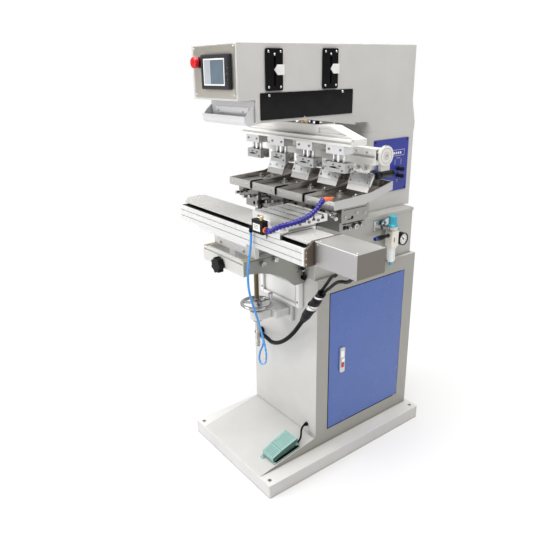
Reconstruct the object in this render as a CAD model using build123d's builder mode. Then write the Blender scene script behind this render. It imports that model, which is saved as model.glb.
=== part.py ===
from build123d import *
import math
import os

os.makedirs("parts", exist_ok=True)

# Pad printing machine, four colours, shuttle table, floor standing
# Millimetres, +X to the operator's right, -Y to the operator, +Z up
# The origin is the middle of the base's underside

# Base and cabinet
base_width = 544.0
base_depth = 864.0
base_height = 58.0
base_wall = 8.0
base_top = 10.0
foot_inset_x = 28.5
foot_inset_y = 23.0
foot_pitch_x = base_width - 2 * foot_inset_x
foot_pitch_y = base_depth - 2 * foot_inset_y
foot_hole_radius = 8.0
foot_boss = 70.0
sheet = 3.0
cabinet_half_width = 206.0
cabinet_front = -142.0
back_ledge = 16.0
cabinet_back = base_depth / 2 - back_ledge
cabinet_top = 796.0
ramp_setback = 2.0
ramp_front = ramp_setback - base_depth / 2
ramp_rise = 49.0

# Door in the cabinet's right side
door_front = -75.0
door_back = 352.5
door_bottom = 124.0
door_top = 730.0
door_gap = 2.5
door_rim = 15.0
door_skin = 2.0
pivot_inset = 4.0
pivot_x = cabinet_half_width - pivot_inset
pivot_y = door_back - 4.5
pivot_radius = 2.5
pivot_clearance = 0.06
latch_y = -6.0
latch_width = 24.0
latch_bottom = 370.0
latch_top = 480.0

# Housings above the cabinet
mid_half_width = 188.0
mid_back = 404.0
mid_top = 980.0
deck_thickness = 14.0
deck_half_width = 190.0
deck_back = 405.0
deck_top = mid_top + deck_thickness
head_half_width = 136.0
upright_front = 164.0
upright_back = 440.0
upright_corner = 38.0
back_corner = 6.0
seam_height = 1305.0
head_front = -426.0
head_back = 420.0
head_top = 1627.0
head_underside = 1452.0
cheek_front = -356.0
cheek_bottom = 1380.0
cheek_low = 1345.0
cheek_bend = -130.0
throat_bottom = 1352.0
throat_front = 99.0
throat_radius = 22.0
head_edge = 5.0
window_front = -339.0
window_back = 78.0
window_bottom = 1388.0
window_top = 1473.0

# Stations, one for each colour
station_count = 4
station_pitch = 160.0
station_shift = 4.0
stations = [(i - (station_count - 1) / 2) * station_pitch + station_shift for i in range(station_count)]

# Ink trays on their bed
tray_half_width = 76.0
tray_wall = 4.0
tray_front = -177.0
tray_back = 112.0
tray_floor = 1095.0
tray_rim = 1125.0
tray_back_rim = 1158.0
bed_left = -262.0
bed_front = -136.0
bed_back = -3.0

# Pad beam and pad holders
beam_left = -312.0
beam_right = 320.0
beam_front = -108.0
beam_back = -32.0
beam_bottom = 1298.0
beam_ledge = 1321.0
beam_crown = 1350.0
guide_rod_x = 95.0
guide_rod_y = -60.0
guide_rod_radius = 8.0
running_gap = 0.05
holder_bottom = 1206.0

# Carriage in the head
ledge_inner = 121.0
ledge_bottom = 1500.0
ledge_top = 1512.0
ledge_back = 57.0
carriage_front = -118.0
carriage_back = 50.0
carriage_bottom = 1392.0
carriage_top = 1482.0
pad_travel = 70.0
piston_radius = 25.0
piston_bottom = beam_crown + 230.0

# Doctor blade bar
bar_left = -300.0
bar_right = 320.0
bar_front = 8.0
bar_back = 43.0
bar_bottom = 1225.0
bar_top = 1282.0

# Lift bracket, cross slide and shuttle
guide_half_width = 125.0
guide_face = -165.0
guide_bottom = 668.0
guide_top = 965.0
bracket_half_width = 134.0
bracket_front = -410.0
bracket_top = 918.0
slide_gap = 0.3
screw_y = -275.0
screw_radius = 9.0
screw_bottom = 492.0
wheel_radius = 66.0
wheel_height = 680.0
arm_top = 650.0
shuttle_left = -305.0
shuttle_right = 450.0
shuttle_front = -420.0
shuttle_back = -285.0
shuttle_bottom = bracket_top + 69.0
shuttle_top = shuttle_bottom + 56.0
cover_top = shuttle_top + 15.0
table_left = 135.0
table_right = 335.0
table_front = -380.0
table_back = -220.0
table_top = cover_top + 38.0

# Foot pedal, lying on the ramp
pedal_front = -352.0
pedal_length = 132.0
pedal_left = 119.0
pedal_width = 80.0
pedal_taper = 4.0
tread_wall = 3.0

# Cords
tube_radius = 4.0
conduit_radius = 8.5
cable_radius = 5.5
pedal_cord_radius = 4.0


def block(x0, x1, y0, y1, z0, z1, mode=Mode.ADD):
    # Rectangular bar between two corners, in the part being built
    with Locations(((x0 + x1) / 2, (y0 + y1) / 2, (z0 + z1) / 2)):
        Box(x1 - x0, y1 - y0, z1 - z0, mode=mode)


def post(at, axis, radius, length, mode=Mode.ADD, tip=None):
    # Round bar, or cone where tip is given, from a point along +X, +Y or +Z
    turn = {"x": (0, 90, 0), "y": (-90, 0, 0), "z": (0, 0, 0)}[axis]
    base_align = (Align.CENTER, Align.CENTER, Align.MIN)
    with Locations(Location(at, turn)):
        if tip is None:
            Cylinder(radius, length, align=base_align, mode=mode)
        else:
            Cone(radius, tip, length, align=base_align, mode=mode)


def side_prism(points, x0, x1, mode=Mode.ADD):
    # Outline drawn in (y, z), as seen from the right, extruded across the machine
    with BuildSketch(Plane.YZ.offset(x0), mode=Mode.PRIVATE) as outline:
        with BuildLine():
            Polyline(*points, close=True)
        make_face()
    extrude(outline.sketch, amount=x1 - x0, mode=mode)


def front_prism(points, y0, y1, mode=Mode.ADD):
    # Outline drawn in (x, z), as seen from the front, extruded from y1 to y0
    face_plane = Plane(origin=(0, y1, 0), x_dir=(1, 0, 0), z_dir=(0, -1, 0))
    with BuildSketch(face_plane, mode=Mode.PRIVATE) as outline:
        with BuildLine():
            Polyline(*points, close=True)
        make_face()
    extrude(outline.sketch, amount=y1 - y0, mode=mode)


def plan_prism(half_width, y0, y1, front_radius, rear_radius, z0, z1, mode=Mode.ADD):
    # Rounded rectangle in plan, extruded upwards
    with BuildSketch(Plane.XY.offset(z0), mode=Mode.PRIVATE) as outline:
        with Locations((0, (y0 + y1) / 2)):
            Rectangle(2 * half_width, y1 - y0)
        corners = outline.vertices()
        fillet(corners.group_by(Axis.Y)[0], radius=front_radius)
        fillet(outline.vertices().group_by(Axis.Y)[-1], radius=rear_radius)
    extrude(outline.sketch, amount=z1 - z0, mode=mode)


def cord_path(points, end_share=0.45):
    # Straight runs joined by tangent arcs, each as large as its two runs allow
    pts = [Vector(*p) for p in points]
    runs = [0.45 * (b - a).length for a, b in zip(pts, pts[1:])]
    runs[0] *= end_share / 0.45
    runs[-1] *= end_share / 0.45
    radii = []
    for i, (a, b, c) in enumerate(zip(pts, pts[1:], pts[2:])):
        half_turn = math.radians((b - a).get_angle(c - b)) / 2
        radii.append(min(runs[i], runs[i + 1]) / math.tan(half_turn))
    return pts, radii


def report_cord(name, solid, line, radius, radii):
    # Volume against section times length, and the radii of the bends
    ratio = solid.volume / (math.pi * radius * radius * line.length)
    print(name, "length", round(line.length, 1), "volume ratio", round(ratio, 4))
    print(name, "radii", [round(r, 1) for r in radii])


# Base plinth, a welded box with four bolting bosses
with BuildPart() as base_plinth:
    block(-base_width / 2, base_width / 2, -base_depth / 2, base_depth / 2, 0, base_height)
    fillet(base_plinth.edges().filter_by(Axis.Z), radius=6)
    inner_x = base_width / 2 - base_wall
    inner_y = base_depth / 2 - base_wall
    block(-inner_x, inner_x, -inner_y, inner_y, 0, base_height - base_top, mode=Mode.SUBTRACT)
    for rib_y in (-150, 150):
        block(-inner_x, inner_x, rib_y - 4, rib_y + 4, 0, base_height - base_top)
    for side in (-1, 1):
        for end in (-1, 1):
            cx = side * (inner_x - foot_boss / 2)
            cy = end * (inner_y - foot_boss / 2)
            half = foot_boss / 2
            block(cx - half, cx + half, cy - half, cy + half, 0, base_height - base_top)
    with Locations((0, 0, base_height)):
        with GridLocations(foot_pitch_x, foot_pitch_y, 2, 2):
            Hole(foot_hole_radius)
base_plinth.part.label = "base_plinth"
export_step(base_plinth.part, "parts/base_plinth.step")

# Cabinet and foot ramp, one folded shell with the door's rebate in its right side
ramp_slope = ramp_rise / (cabinet_front - ramp_front)
frame_low_y = door_front - door_gap
frame_high_y = door_back + door_gap
frame_low_z = door_bottom - door_gap
frame_high_z = door_top + door_gap
rebate = cabinet_half_width - sheet - 20
with BuildPart() as cabinet_shell:
    side_prism([(ramp_front, base_height), (cabinet_front, base_height + ramp_rise),
                (cabinet_front, cabinet_top), (cabinet_back, cabinet_top),
                (cabinet_back, base_height)], -cabinet_half_width, cabinet_half_width)
    room = cabinet_half_width - sheet
    block(-room, room, cabinet_front + sheet, cabinet_back - sheet,
          base_height + sheet, cabinet_top - sheet, mode=Mode.SUBTRACT)
    side_prism([(ramp_front + 19, base_height), (cabinet_front - sheet, base_height),
                (cabinet_front - sheet, base_height + ramp_rise - 3.6)],
               -room, room, mode=Mode.SUBTRACT)
    block(rebate, room, frame_low_y - sheet, frame_high_y + sheet,
          frame_low_z - sheet, frame_high_z + sheet)
    block(rebate - 4, rebate, frame_low_y - sheet, frame_high_y + sheet,
          frame_low_z - sheet, frame_high_z + sheet)
    block(rebate, cabinet_half_width + 1, frame_low_y, frame_high_y,
          frame_low_z, frame_high_z, mode=Mode.SUBTRACT)
    block(rebate - 5, rebate + 1, frame_low_y + 15, frame_high_y - 15,
          frame_low_z + 15, frame_high_z - 15, mode=Mode.SUBTRACT)
    post((pivot_x, pivot_y, frame_low_z - sheet - 1), "z", pivot_radius + pivot_clearance,
         sheet + 2, mode=Mode.SUBTRACT)
    post((pivot_x, pivot_y, frame_high_z - 1), "z", pivot_radius + pivot_clearance,
         sheet + 2, mode=Mode.SUBTRACT)
cabinet_shell.part.label = "cabinet_shell"
export_step(cabinet_shell.part, "parts/cabinet_shell.step")

# Electrical mounting plate inside the cabinet, with rails, breakers, drive and ducts
plate_x = -cabinet_half_width + sheet + 6
with BuildPart() as electrics_plate:
    block(plate_x, plate_x + 2.5, -60, 330, 180, 660)
    for sy in (-40, 310):
        for sz in (200, 640):
            post((-cabinet_half_width + sheet, sy, sz), "x", 7, 6)
    face_x = plate_x + 2.5
    for rail_z in (560, 400):
        block(face_x, face_x + 7.5, -30, 300, rail_z - 17.5, rail_z + 17.5)
    for i in range(8):
        block(face_x + 7.5, face_x + 70, -25 + 20 * i, -7.5 + 20 * i, 517, 603)
    for i in range(3):
        block(face_x + 7.5, face_x + 80, 155 + 46 * i, 198 + 46 * i, 520, 600)
    for i in range(2):
        block(face_x + 7.5, face_x + 85, -25 + 110 * i, 80 + 110 * i, 350, 450)
    for i in range(9):
        block(face_x + 7.5, face_x + 45, 200 + 10.5 * i, 209.5 + 10.5 * i, 375, 425)
    for duct_z in (640, 480, 300):
        block(face_x, face_x + 40, -50, 320, duct_z - 16, duct_z + 16)
    block(face_x, face_x + 95, -10, 110, 190, 275)
    block(face_x, face_x + 60, 150, 290, 195, 270)
electrics_plate.part.label = "electrics_plate"
export_step(electrics_plate.part, "parts/electrics_plate.step")

# Mid housing on the cabinet
with BuildPart() as mid_housing:
    block(-mid_half_width, mid_half_width, cabinet_front, mid_back, cabinet_top, mid_top)
    fillet(mid_housing.edges().filter_by(Axis.Z), radius=4)
    block(-mid_half_width + sheet, mid_half_width - sheet, cabinet_front + sheet,
          mid_back - sheet, cabinet_top, mid_top - sheet, mode=Mode.SUBTRACT)
mid_housing.part.label = "mid_housing"
export_step(mid_housing.part, "parts/mid_housing.step")

# Deck plate that carries the tray bed and the upright
with BuildPart() as deck_plate:
    block(-deck_half_width, deck_half_width, cabinet_front, deck_back, mid_top, deck_top)
    chamfer(deck_plate.edges().group_by(Axis.Z)[-1], length=2)
    block(-70, 70, 230, 370, mid_top, deck_top, mode=Mode.SUBTRACT)
deck_plate.part.label = "deck_plate"
export_step(deck_plate.part, "parts/deck_plate.step")

# Upright housing with large rounded front corners
with BuildPart() as upright_housing:
    plan_prism(head_half_width, upright_front, upright_back, upright_corner, back_corner,
               deck_top, seam_height)
    plan_prism(head_half_width - sheet, upright_front + sheet, upright_back - sheet,
               upright_corner - sheet, back_corner - sheet, deck_top, seam_height,
               mode=Mode.SUBTRACT)
upright_housing.part.label = "upright_housing"
export_step(upright_housing.part, "parts/upright_housing.step")


def throat_flare(inset, mode):
    # The upright's front wall curves forwards into the head's underside
    bend_start = throat_bottom - throat_radius
    turns = [math.radians(a) for a in (0, 30, 60, 90)]
    levels = [(seam_height, 0.0)] + [(bend_start + throat_radius * math.sin(a), a) for a in turns]
    sections = []
    for z, lean in levels:
        front = upright_front - throat_radius * (1 - math.cos(lean))
        corner = upright_corner + (z - seam_height) / (throat_bottom - seam_height) * (12 - upright_corner)
        with BuildSketch(Plane.XY.offset(z), mode=Mode.PRIVATE) as ring:
            with Locations((0, (front + inset + 300) / 2)):
                Rectangle(2 * (head_half_width - inset), 300 - front - inset)
            fillet(ring.vertices().group_by(Axis.Y)[0], radius=corner - inset * 0.9)
        sections.append(ring.sketch.face())
    loft(sections, mode=mode)


# Head housing: nose over the trays, cheeks on both sides, throat and rear column
with BuildPart() as head_housing:
    side_prism([(head_front, head_underside), (head_front, head_top), (260, head_top),
                (260, throat_bottom), (throat_front, throat_bottom),
                (throat_front, cheek_low), (cheek_bend, cheek_bottom - 2),
                (cheek_front, cheek_bottom), (cheek_front, head_underside)],
               -head_half_width, head_half_width)
    plan_prism(head_half_width, upright_front + 20, upright_back, 8, back_corner,
               throat_bottom, head_top)
    throat_flare(0, Mode.ADD)
    block(-head_half_width, head_half_width, 290, upright_back, seam_height, throat_bottom)
    side_prism([(upright_back + 5, 1335), (upright_back, 1335), (head_back, 1415),
                (head_back, head_top + 5), (upright_back + 5, head_top + 5)],
               -150, 150, mode=Mode.SUBTRACT)
    top_edges = head_housing.edges().group_by(Axis.Z)[-1]
    nose_edges = head_housing.edges().filter_by(Axis.Z).group_by(Axis.Y)[0]
    fillet(top_edges + nose_edges, radius=head_edge)
    # Inside of the nose, open below between the cheeks
    room = head_half_width - sheet
    block(-room, room, head_front + sheet, cheek_front + sheet,
          head_underside + sheet, head_top - sheet, mode=Mode.SUBTRACT)
    block(-room, room, cheek_front + sheet, throat_front - sheet,
          cheek_low - 10, head_top - sheet, mode=Mode.SUBTRACT)
    block(-room, room, throat_front - sheet, head_back - sheet,
          throat_bottom + sheet, head_top - sheet, mode=Mode.SUBTRACT)
    throat_flare(sheet, Mode.SUBTRACT)
    block(-room, room, 280, upright_back - 6, seam_height - 1, throat_bottom + 5,
          mode=Mode.SUBTRACT)
    # Opening in the right cheek, behind the dark window
    block(room - 2, head_half_width + 2, window_front + 9, window_back - 26,
          window_bottom + 9, window_top - 13, mode=Mode.SUBTRACT)
    # Ledges that carry the carriage
    for side in (-1, 1):
        near, far = sorted((side * ledge_inner, side * room))
        block(near, far, cheek_front + sheet, ledge_back, ledge_bottom, ledge_top)
head_housing.part.label = "head_housing"
export_step(head_housing.part, "parts/head_housing.step")

# Door: folded sheet with a rim, hung on two pivot pins
rim_inner = cabinet_half_width - sheet - door_rim
with BuildPart() as door:
    block(rim_inner, cabinet_half_width, door_front, door_back, door_bottom, door_top)
    block(rim_inner - 1, cabinet_half_width - sheet, door_front + door_skin, door_back - 9,
          door_bottom + door_skin, door_top - door_skin, mode=Mode.SUBTRACT)
    for rib_z in (277, 577):
        block(rim_inner + 4, cabinet_half_width - sheet, door_front + door_skin,
              door_back - 9, rib_z - 8, rib_z + 8)
    post((pivot_x, pivot_y, door_bottom - 4.5), "z", pivot_radius, 5)
    post((pivot_x, pivot_y, door_top - 0.5), "z", pivot_radius, 5)
    block(pivot_x - 2.5, pivot_x + 2.5, pivot_y - 2.5, pivot_y + 2.5, door_top - 30, door_top)
    block(pivot_x - 2.5, pivot_x + 2.5, pivot_y - 2.5, pivot_y + 2.5, door_bottom, door_bottom + 30)
door.part.label = "door"
export_step(door.part, "parts/door.step")

# Door latch: body, swinging lever and release button
latch_out = cabinet_half_width + 8
lever_axis_x = cabinet_half_width + 5
lever_axis_z = latch_top - 12
lever_half = 8.5
button_z = 404.0
with BuildPart() as latch_body:
    block(cabinet_half_width, latch_out, latch_y - latch_width / 2, latch_y + latch_width / 2,
          latch_bottom, latch_top)
    fillet(latch_body.edges().filter_by(Axis.X), radius=5)
    block(cabinet_half_width + 2, latch_out + 1, latch_y - lever_half - 0.5,
          latch_y + lever_half + 0.5, 417, latch_top - 8, mode=Mode.SUBTRACT)
    block(cabinet_half_width + 2, latch_out + 1, latch_y - 6.4, latch_y + 6.4,
          button_z - 10.4, button_z + 10.4, mode=Mode.SUBTRACT)
    post((lever_axis_x, latch_y - lever_half - 2, lever_axis_z), "y", 1.25, 2 * lever_half + 4,
         mode=Mode.SUBTRACT)
latch_body.part.label = "latch_body"
export_step(latch_body.part, "parts/latch_body.step")

with BuildPart() as latch_lever:
    with BuildSketch(Plane.XZ.offset(-(latch_y + lever_half))):
        with Locations((lever_axis_x, lever_axis_z)):
            Circle(2.7)
        with Locations((lever_axis_x, (lever_axis_z + 418) / 2)):
            Rectangle(5.4, lever_axis_z - 418)
        with Locations((lever_axis_x + 1.5, 426)):
            Rectangle(8.4, 16)
    extrude(amount=2 * lever_half)
    post((lever_axis_x, latch_y - lever_half - 1.7, lever_axis_z), "y", 1.2,
         2 * lever_half + 3.4)
latch_lever.part.label = "latch_lever"
export_step(latch_lever.part, "parts/latch_lever.step")

with BuildPart() as latch_button:
    block(latch_out - 3.5, latch_out + 3, latch_y - 6, latch_y + 6, button_z - 10, button_z + 10)
    fillet(latch_button.edges().group_by(Axis.X)[-1], radius=1.2)
latch_button.part.label = "latch_button"
export_step(latch_button.part, "parts/latch_button.step")

# Front panel with the bore for the emergency stop
panel_face = head_front - 2
stop_x = -77.0
stop_z = 1570.0
stop_bore = 11.05
stop_head = 18.5
with BuildPart() as front_panel:
    block(-119, 129, panel_face, head_front, 1460, 1620)
    fillet(front_panel.edges().filter_by(Axis.Y), radius=4)
    post((stop_x, panel_face - 1, stop_z), "y", stop_bore + 0.2, 4, mode=Mode.SUBTRACT)
front_panel.part.label = "front_panel"
export_step(front_panel.part, "parts/front_panel.step")

# Touch screen unit
with BuildPart() as touch_screen:
    block(-52, 112, panel_face - 14, panel_face, 1486, 1594)
    fillet(touch_screen.edges().filter_by(Axis.Y), radius=5)
    chamfer(touch_screen.edges().group_by(Axis.Y)[0], length=2.5)
    block(-40, 93, panel_face - 15, panel_face - 12.5, 1496, 1583, mode=Mode.SUBTRACT)
touch_screen.part.label = "touch_screen"
export_step(touch_screen.part, "parts/touch_screen.step")

# Emergency stop: collar on the panel and mushroom head
with BuildPart() as estop_base:
    post((stop_x, panel_face - 3, stop_z), "y", 17, 3)
    post((stop_x, panel_face - 9, stop_z), "y", 14.5, 6)
    post((stop_x, panel_face - 10, stop_z), "y", stop_bore, 11, mode=Mode.SUBTRACT)
estop_base.part.label = "estop_base"
export_step(estop_base.part, "parts/estop_base.step")

with BuildPart() as estop_button:
    post((stop_x, panel_face - 15, stop_z), "y", stop_bore - running_gap, 10)
    post((stop_x, panel_face - 30, stop_z), "y", stop_head, 15)
    fillet(estop_button.edges().group_by(Axis.Y)[0], radius=6)
estop_button.part.label = "estop_button"
export_step(estop_button.part, "parts/estop_button.step")

# Tool tray hung across the nose, a folded trough with quarter-round ends
tray_edge = cheek_front - 2
trough_radius = 20.5
trough_y = cheek_front - trough_radius
trough_z = 1392.0
trough_lip = cheek_front - 2 * trough_radius
with BuildPart() as tool_tray:
    with BuildSketch(Plane.YZ.offset(-133)):
        with BuildLine():
            Polyline((cheek_front, 1450), (cheek_front, trough_z))
            ThreePointArc((cheek_front, trough_z), (trough_y, trough_z - trough_radius),
                          (trough_lip, trough_z))
            Polyline((trough_lip, trough_z), (trough_lip, trough_z + 11),
                     (trough_lip + 2, trough_z + 11), (trough_lip + 2, trough_z))
            ThreePointArc((trough_lip + 2, trough_z), (trough_y, trough_z + 2 - trough_radius),
                          (tray_edge, trough_z))
            Polyline((tray_edge, trough_z), (tray_edge, 1450), (cheek_front, 1450))
        make_face()
    extrude(amount=261)
    for x0 in (-133, 125):
        with BuildSketch(Plane.YZ.offset(x0)):
            with BuildLine():
                Line((cheek_front, 1434), (cheek_front, trough_z))
                ThreePointArc((cheek_front, trough_z), (trough_y, trough_z - trough_radius),
                              (trough_lip, trough_z))
                ThreePointArc((trough_lip, trough_z), (trough_y + 6, 1424), (cheek_front, 1434))
            make_face()
        extrude(amount=3)
tool_tray.part.label = "tool_tray"
export_step(tool_tray.part, "parts/tool_tray.step")

# Dark window over the opening in the right cheek
with BuildPart() as side_window:
    block(head_half_width, head_half_width + 2.5, window_front, window_back, window_bottom, window_top)
    fillet(side_window.edges().filter_by(Axis.X), radius=3)
    post((head_half_width - 1, -150, window_bottom), "x", 5, 5, mode=Mode.SUBTRACT)
side_window.part.label = "side_window"
export_step(side_window.part, "parts/side_window.step")

# Two stroke plates on the head's side, each with a slot for its pointer
scale_face = head_half_width + 7
scales = ((-317.0, -249.0, 1479.0, 1608.0), (-72.0, -3.0, 1478.0, 1609.0))
pointer_z = 1543.0
slot_half = 4.0
slot_bottom = 1494.0
slot_top = 1583.0
key_half = 2.4
with BuildPart() as stroke_scales:
    for y0, y1, z0, z1 in scales:
        with BuildSketch(Plane.YZ.offset(head_half_width)):
            with Locations(((y0 + y1) / 2, (z0 + z1) / 2)):
                RectangleRounded(y1 - y0, z1 - z0, 6)
        extrude(amount=scale_face - head_half_width)
    for y0, y1, z0, z1 in scales:
        mid = (y0 + y1) / 2
        block(head_half_width + 2, scale_face + 1, mid - slot_half, mid + slot_half, slot_bottom,
              slot_top, mode=Mode.SUBTRACT)
stroke_scales.part.label = "stroke_scales"
export_step(stroke_scales.part, "parts/stroke_scales.step")


def pointer_body(y0, y1):
    # Five-sided pointer, its tip over the slot, on a key that runs in the slot
    mid = (y0 + y1) / 2
    side_prism([(mid - 3, pointer_z), (mid + 10, pointer_z + 16), (mid + 37, pointer_z + 16),
                (mid + 37, pointer_z - 16), (mid + 10, pointer_z - 16)],
               scale_face + 0.4, scale_face + 4)
    block(head_half_width + 2.4, scale_face + 1, mid - 0.5, mid + 3.6,
          pointer_z - key_half, pointer_z + key_half)


with BuildPart() as pointer_front:
    pointer_body(scales[0][0], scales[0][1])
pointer_front.part.label = "pointer_front"
export_step(pointer_front.part, "parts/pointer_front.step")

with BuildPart() as pointer_rear:
    pointer_body(scales[1][0], scales[1][1])
pointer_rear.part.label = "pointer_rear"
export_step(pointer_rear.part, "parts/pointer_rear.step")

# Connection plate on the upright, with two fittings
with BuildPart() as control_plate:
    block(head_half_width, head_half_width + 3, 203, 407, 1064, 1276)
    fillet(control_plate.edges().filter_by(Axis.X), radius=4)
    plate_face = head_half_width + 3
    for fz in (1154, 1126):
        post((plate_face, 349, fz), "x", 9, 6)
        post((plate_face + 6, 349, fz), "x", 6.5, 14)
        post((plate_face + 20, 349, fz), "x", 8, 6)
control_plate.part.label = "control_plate"
export_step(control_plate.part, "parts/control_plate.step")

# Air regulator: bracket, body with bowl, gauge and knob
frl_x = 222.0
frl_y = 241.0
with BuildPart() as frl_bracket:
    block(mid_half_width, mid_half_width + 3, 165, 265, 931, 972)
    block(mid_half_width, frl_x + 22, 215, 265, 931, 934)
    post((frl_x, frl_y, 930), "z", 15.2, 5, mode=Mode.SUBTRACT)
frl_bracket.part.label = "frl_bracket"
export_step(frl_bracket.part, "parts/frl_bracket.step")

with BuildPart() as frl_body:
    block(frl_x - 20, frl_x + 20, frl_y - 20, frl_y + 20, 865, 931)
    fillet(frl_body.edges().filter_by(Axis.Z), radius=6)
    post((frl_x, frl_y, 806), "z", 17, 60)
    post((frl_x, frl_y, 798), "z", 12, 9, tip=17)
    post((frl_x, frl_y, 783), "z", 6, 16)
    post((frl_x, frl_y, 930), "z", 15, 5)
    post((frl_x, frl_y, 934), "z", 18.5, 14)
    post((frl_x, frl_y, 947), "z", 9, 14)
    post((frl_x, frl_y - 62, 911), "y", 7, 43)
    post((frl_x, frl_y - 90, 911), "y", 9, 30)
    post((frl_x, frl_y - 100, 911), "y", 8, 12)
    post((frl_x, frl_y - 101, 911), "y", 5, 14, mode=Mode.SUBTRACT)
frl_body.part.label = "frl_body"
export_step(frl_body.part, "parts/frl_body.step")

with BuildPart() as regulator_knob:
    post((frl_x, frl_y, 948.4), "z", 23, 8, tip=16.5)
    post((frl_x, frl_y, 956.4), "z", 16.5, 32.6)
    chamfer(regulator_knob.edges().group_by(Axis.Z)[-1], length=2)
    post((frl_x, frl_y, 947), "z", 9.05, 15, mode=Mode.SUBTRACT)
    with Locations((frl_x, frl_y, 971)):
        with PolarLocations(17, 8):
            Box(2.4, 3.6, 30, mode=Mode.SUBTRACT)
    with Locations((frl_x, frl_y, 951)):
        with PolarLocations(23.5, 8, start_angle=22.5):
            Box(6, 7, 12, mode=Mode.SUBTRACT)
regulator_knob.part.label = "regulator_knob"
export_step(regulator_knob.part, "parts/regulator_knob.step")

gauge_y = 287.5
gauge_z = 889.0
gauge_radius = 26.0
with BuildPart() as pressure_gauge:
    post((221, gauge_y, gauge_z), "x", gauge_radius, 24)
    post((242, gauge_y, gauge_z), "x", gauge_radius - 3, 4, mode=Mode.SUBTRACT)
    post((236, frl_y + 20, gauge_z), "y", 6, 8)
    post((203, gauge_y, gauge_z), "x", 7, 24)
pressure_gauge.part.label = "pressure_gauge"
export_step(pressure_gauge.part, "parts/pressure_gauge.step")

# Vertical guide on the column
with BuildPart() as vertical_guide:
    block(-guide_half_width, guide_half_width, guide_face, cabinet_front, guide_bottom, guide_top)
    block(-103, 103, guide_face - 1, guide_face + 9, guide_bottom + 12, guide_top + 1,
          mode=Mode.SUBTRACT)
    for side in (-1, 1):
        for gz in (690, 780, 870, 950):
            post((side * 114, guide_face - 1, gz), "y", 5, 7, mode=Mode.SUBTRACT)
vertical_guide.part.label = "vertical_guide"
export_step(vertical_guide.part, "parts/vertical_guide.step")

# Screw bracket: wall flange and arm with the bearing bore
with BuildPart() as screw_bracket:
    block(-70, 70, cabinet_front - 15, cabinet_front, 592, guide_bottom - 1)
    block(-58, 58, screw_y, cabinet_front - 15, 617, arm_top)
    post((0, screw_y, 617), "z", 30, arm_top - 617)
    side_prism([(cabinet_front - 15, 617), (screw_y + 60, 617), (cabinet_front - 15, 596)], -8, 8)
    block(-58, -30, screw_y - 31, screw_y + 50, 616, arm_top + 1, mode=Mode.SUBTRACT)
    block(30, 58, screw_y - 31, screw_y + 50, 616, arm_top + 1, mode=Mode.SUBTRACT)
    post((0, screw_y, 616), "z", 14.05, arm_top - 615, mode=Mode.SUBTRACT)
screw_bracket.part.label = "screw_bracket"
export_step(screw_bracket.part, "parts/screw_bracket.step")

# Handwheel with round rim, three spokes, hub and crank knob
crank_angle = math.radians(40)
rim_radius = 6.5
hub_bottom = arm_top + slide_gap
with BuildPart() as handwheel:
    with BuildSketch(Plane(origin=(0, screw_y, wheel_height), x_dir=(1, 0, 0), z_dir=(0, -1, 0))):
        with Locations((wheel_radius - rim_radius, 0)):
            Circle(rim_radius)
    revolve(axis=Axis((0, screw_y, 0), (0, 0, 1)))
    for i in range(3):
        a = math.radians(100 + 120 * i)
        with Locations(Location((34 * math.cos(a), screw_y + 34 * math.sin(a), wheel_height),
                                (0, 0, math.degrees(a)))):
            Box(44, 13, 7)
    post((0, screw_y, hub_bottom), "z", 20, wheel_height + 12 - hub_bottom)
    post((0, screw_y, 613), "z", 14, 60)
    post((0, screw_y, 606), "z", 19, 10.6)
    crank_x = (wheel_radius - rim_radius - 4) * math.cos(crank_angle)
    crank_y = screw_y + (wheel_radius - rim_radius - 4) * math.sin(crank_angle)
    post((crank_x, crank_y, wheel_height), "z", 4, 20)
    post((crank_x, crank_y, wheel_height + 18), "z", 6, 28, tip=9)
    post((0, screw_y, 600), "z", screw_radius + running_gap, 110, mode=Mode.SUBTRACT)
handwheel.part.label = "handwheel"
export_step(handwheel.part, "parts/handwheel.step")

# Lead screw with its nut under the lift bracket
with BuildPart() as lead_screw:
    post((0, screw_y, screw_bottom), "z", screw_radius, bracket_top - 12 - screw_bottom)
    post((0, screw_y, bracket_top - 26), "z", 17, 14)
    chamfer(lead_screw.edges().group_by(Axis.Z)[0], length=2)
lead_screw.part.label = "lead_screw"
export_step(lead_screw.part, "parts/lead_screw.step")

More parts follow.
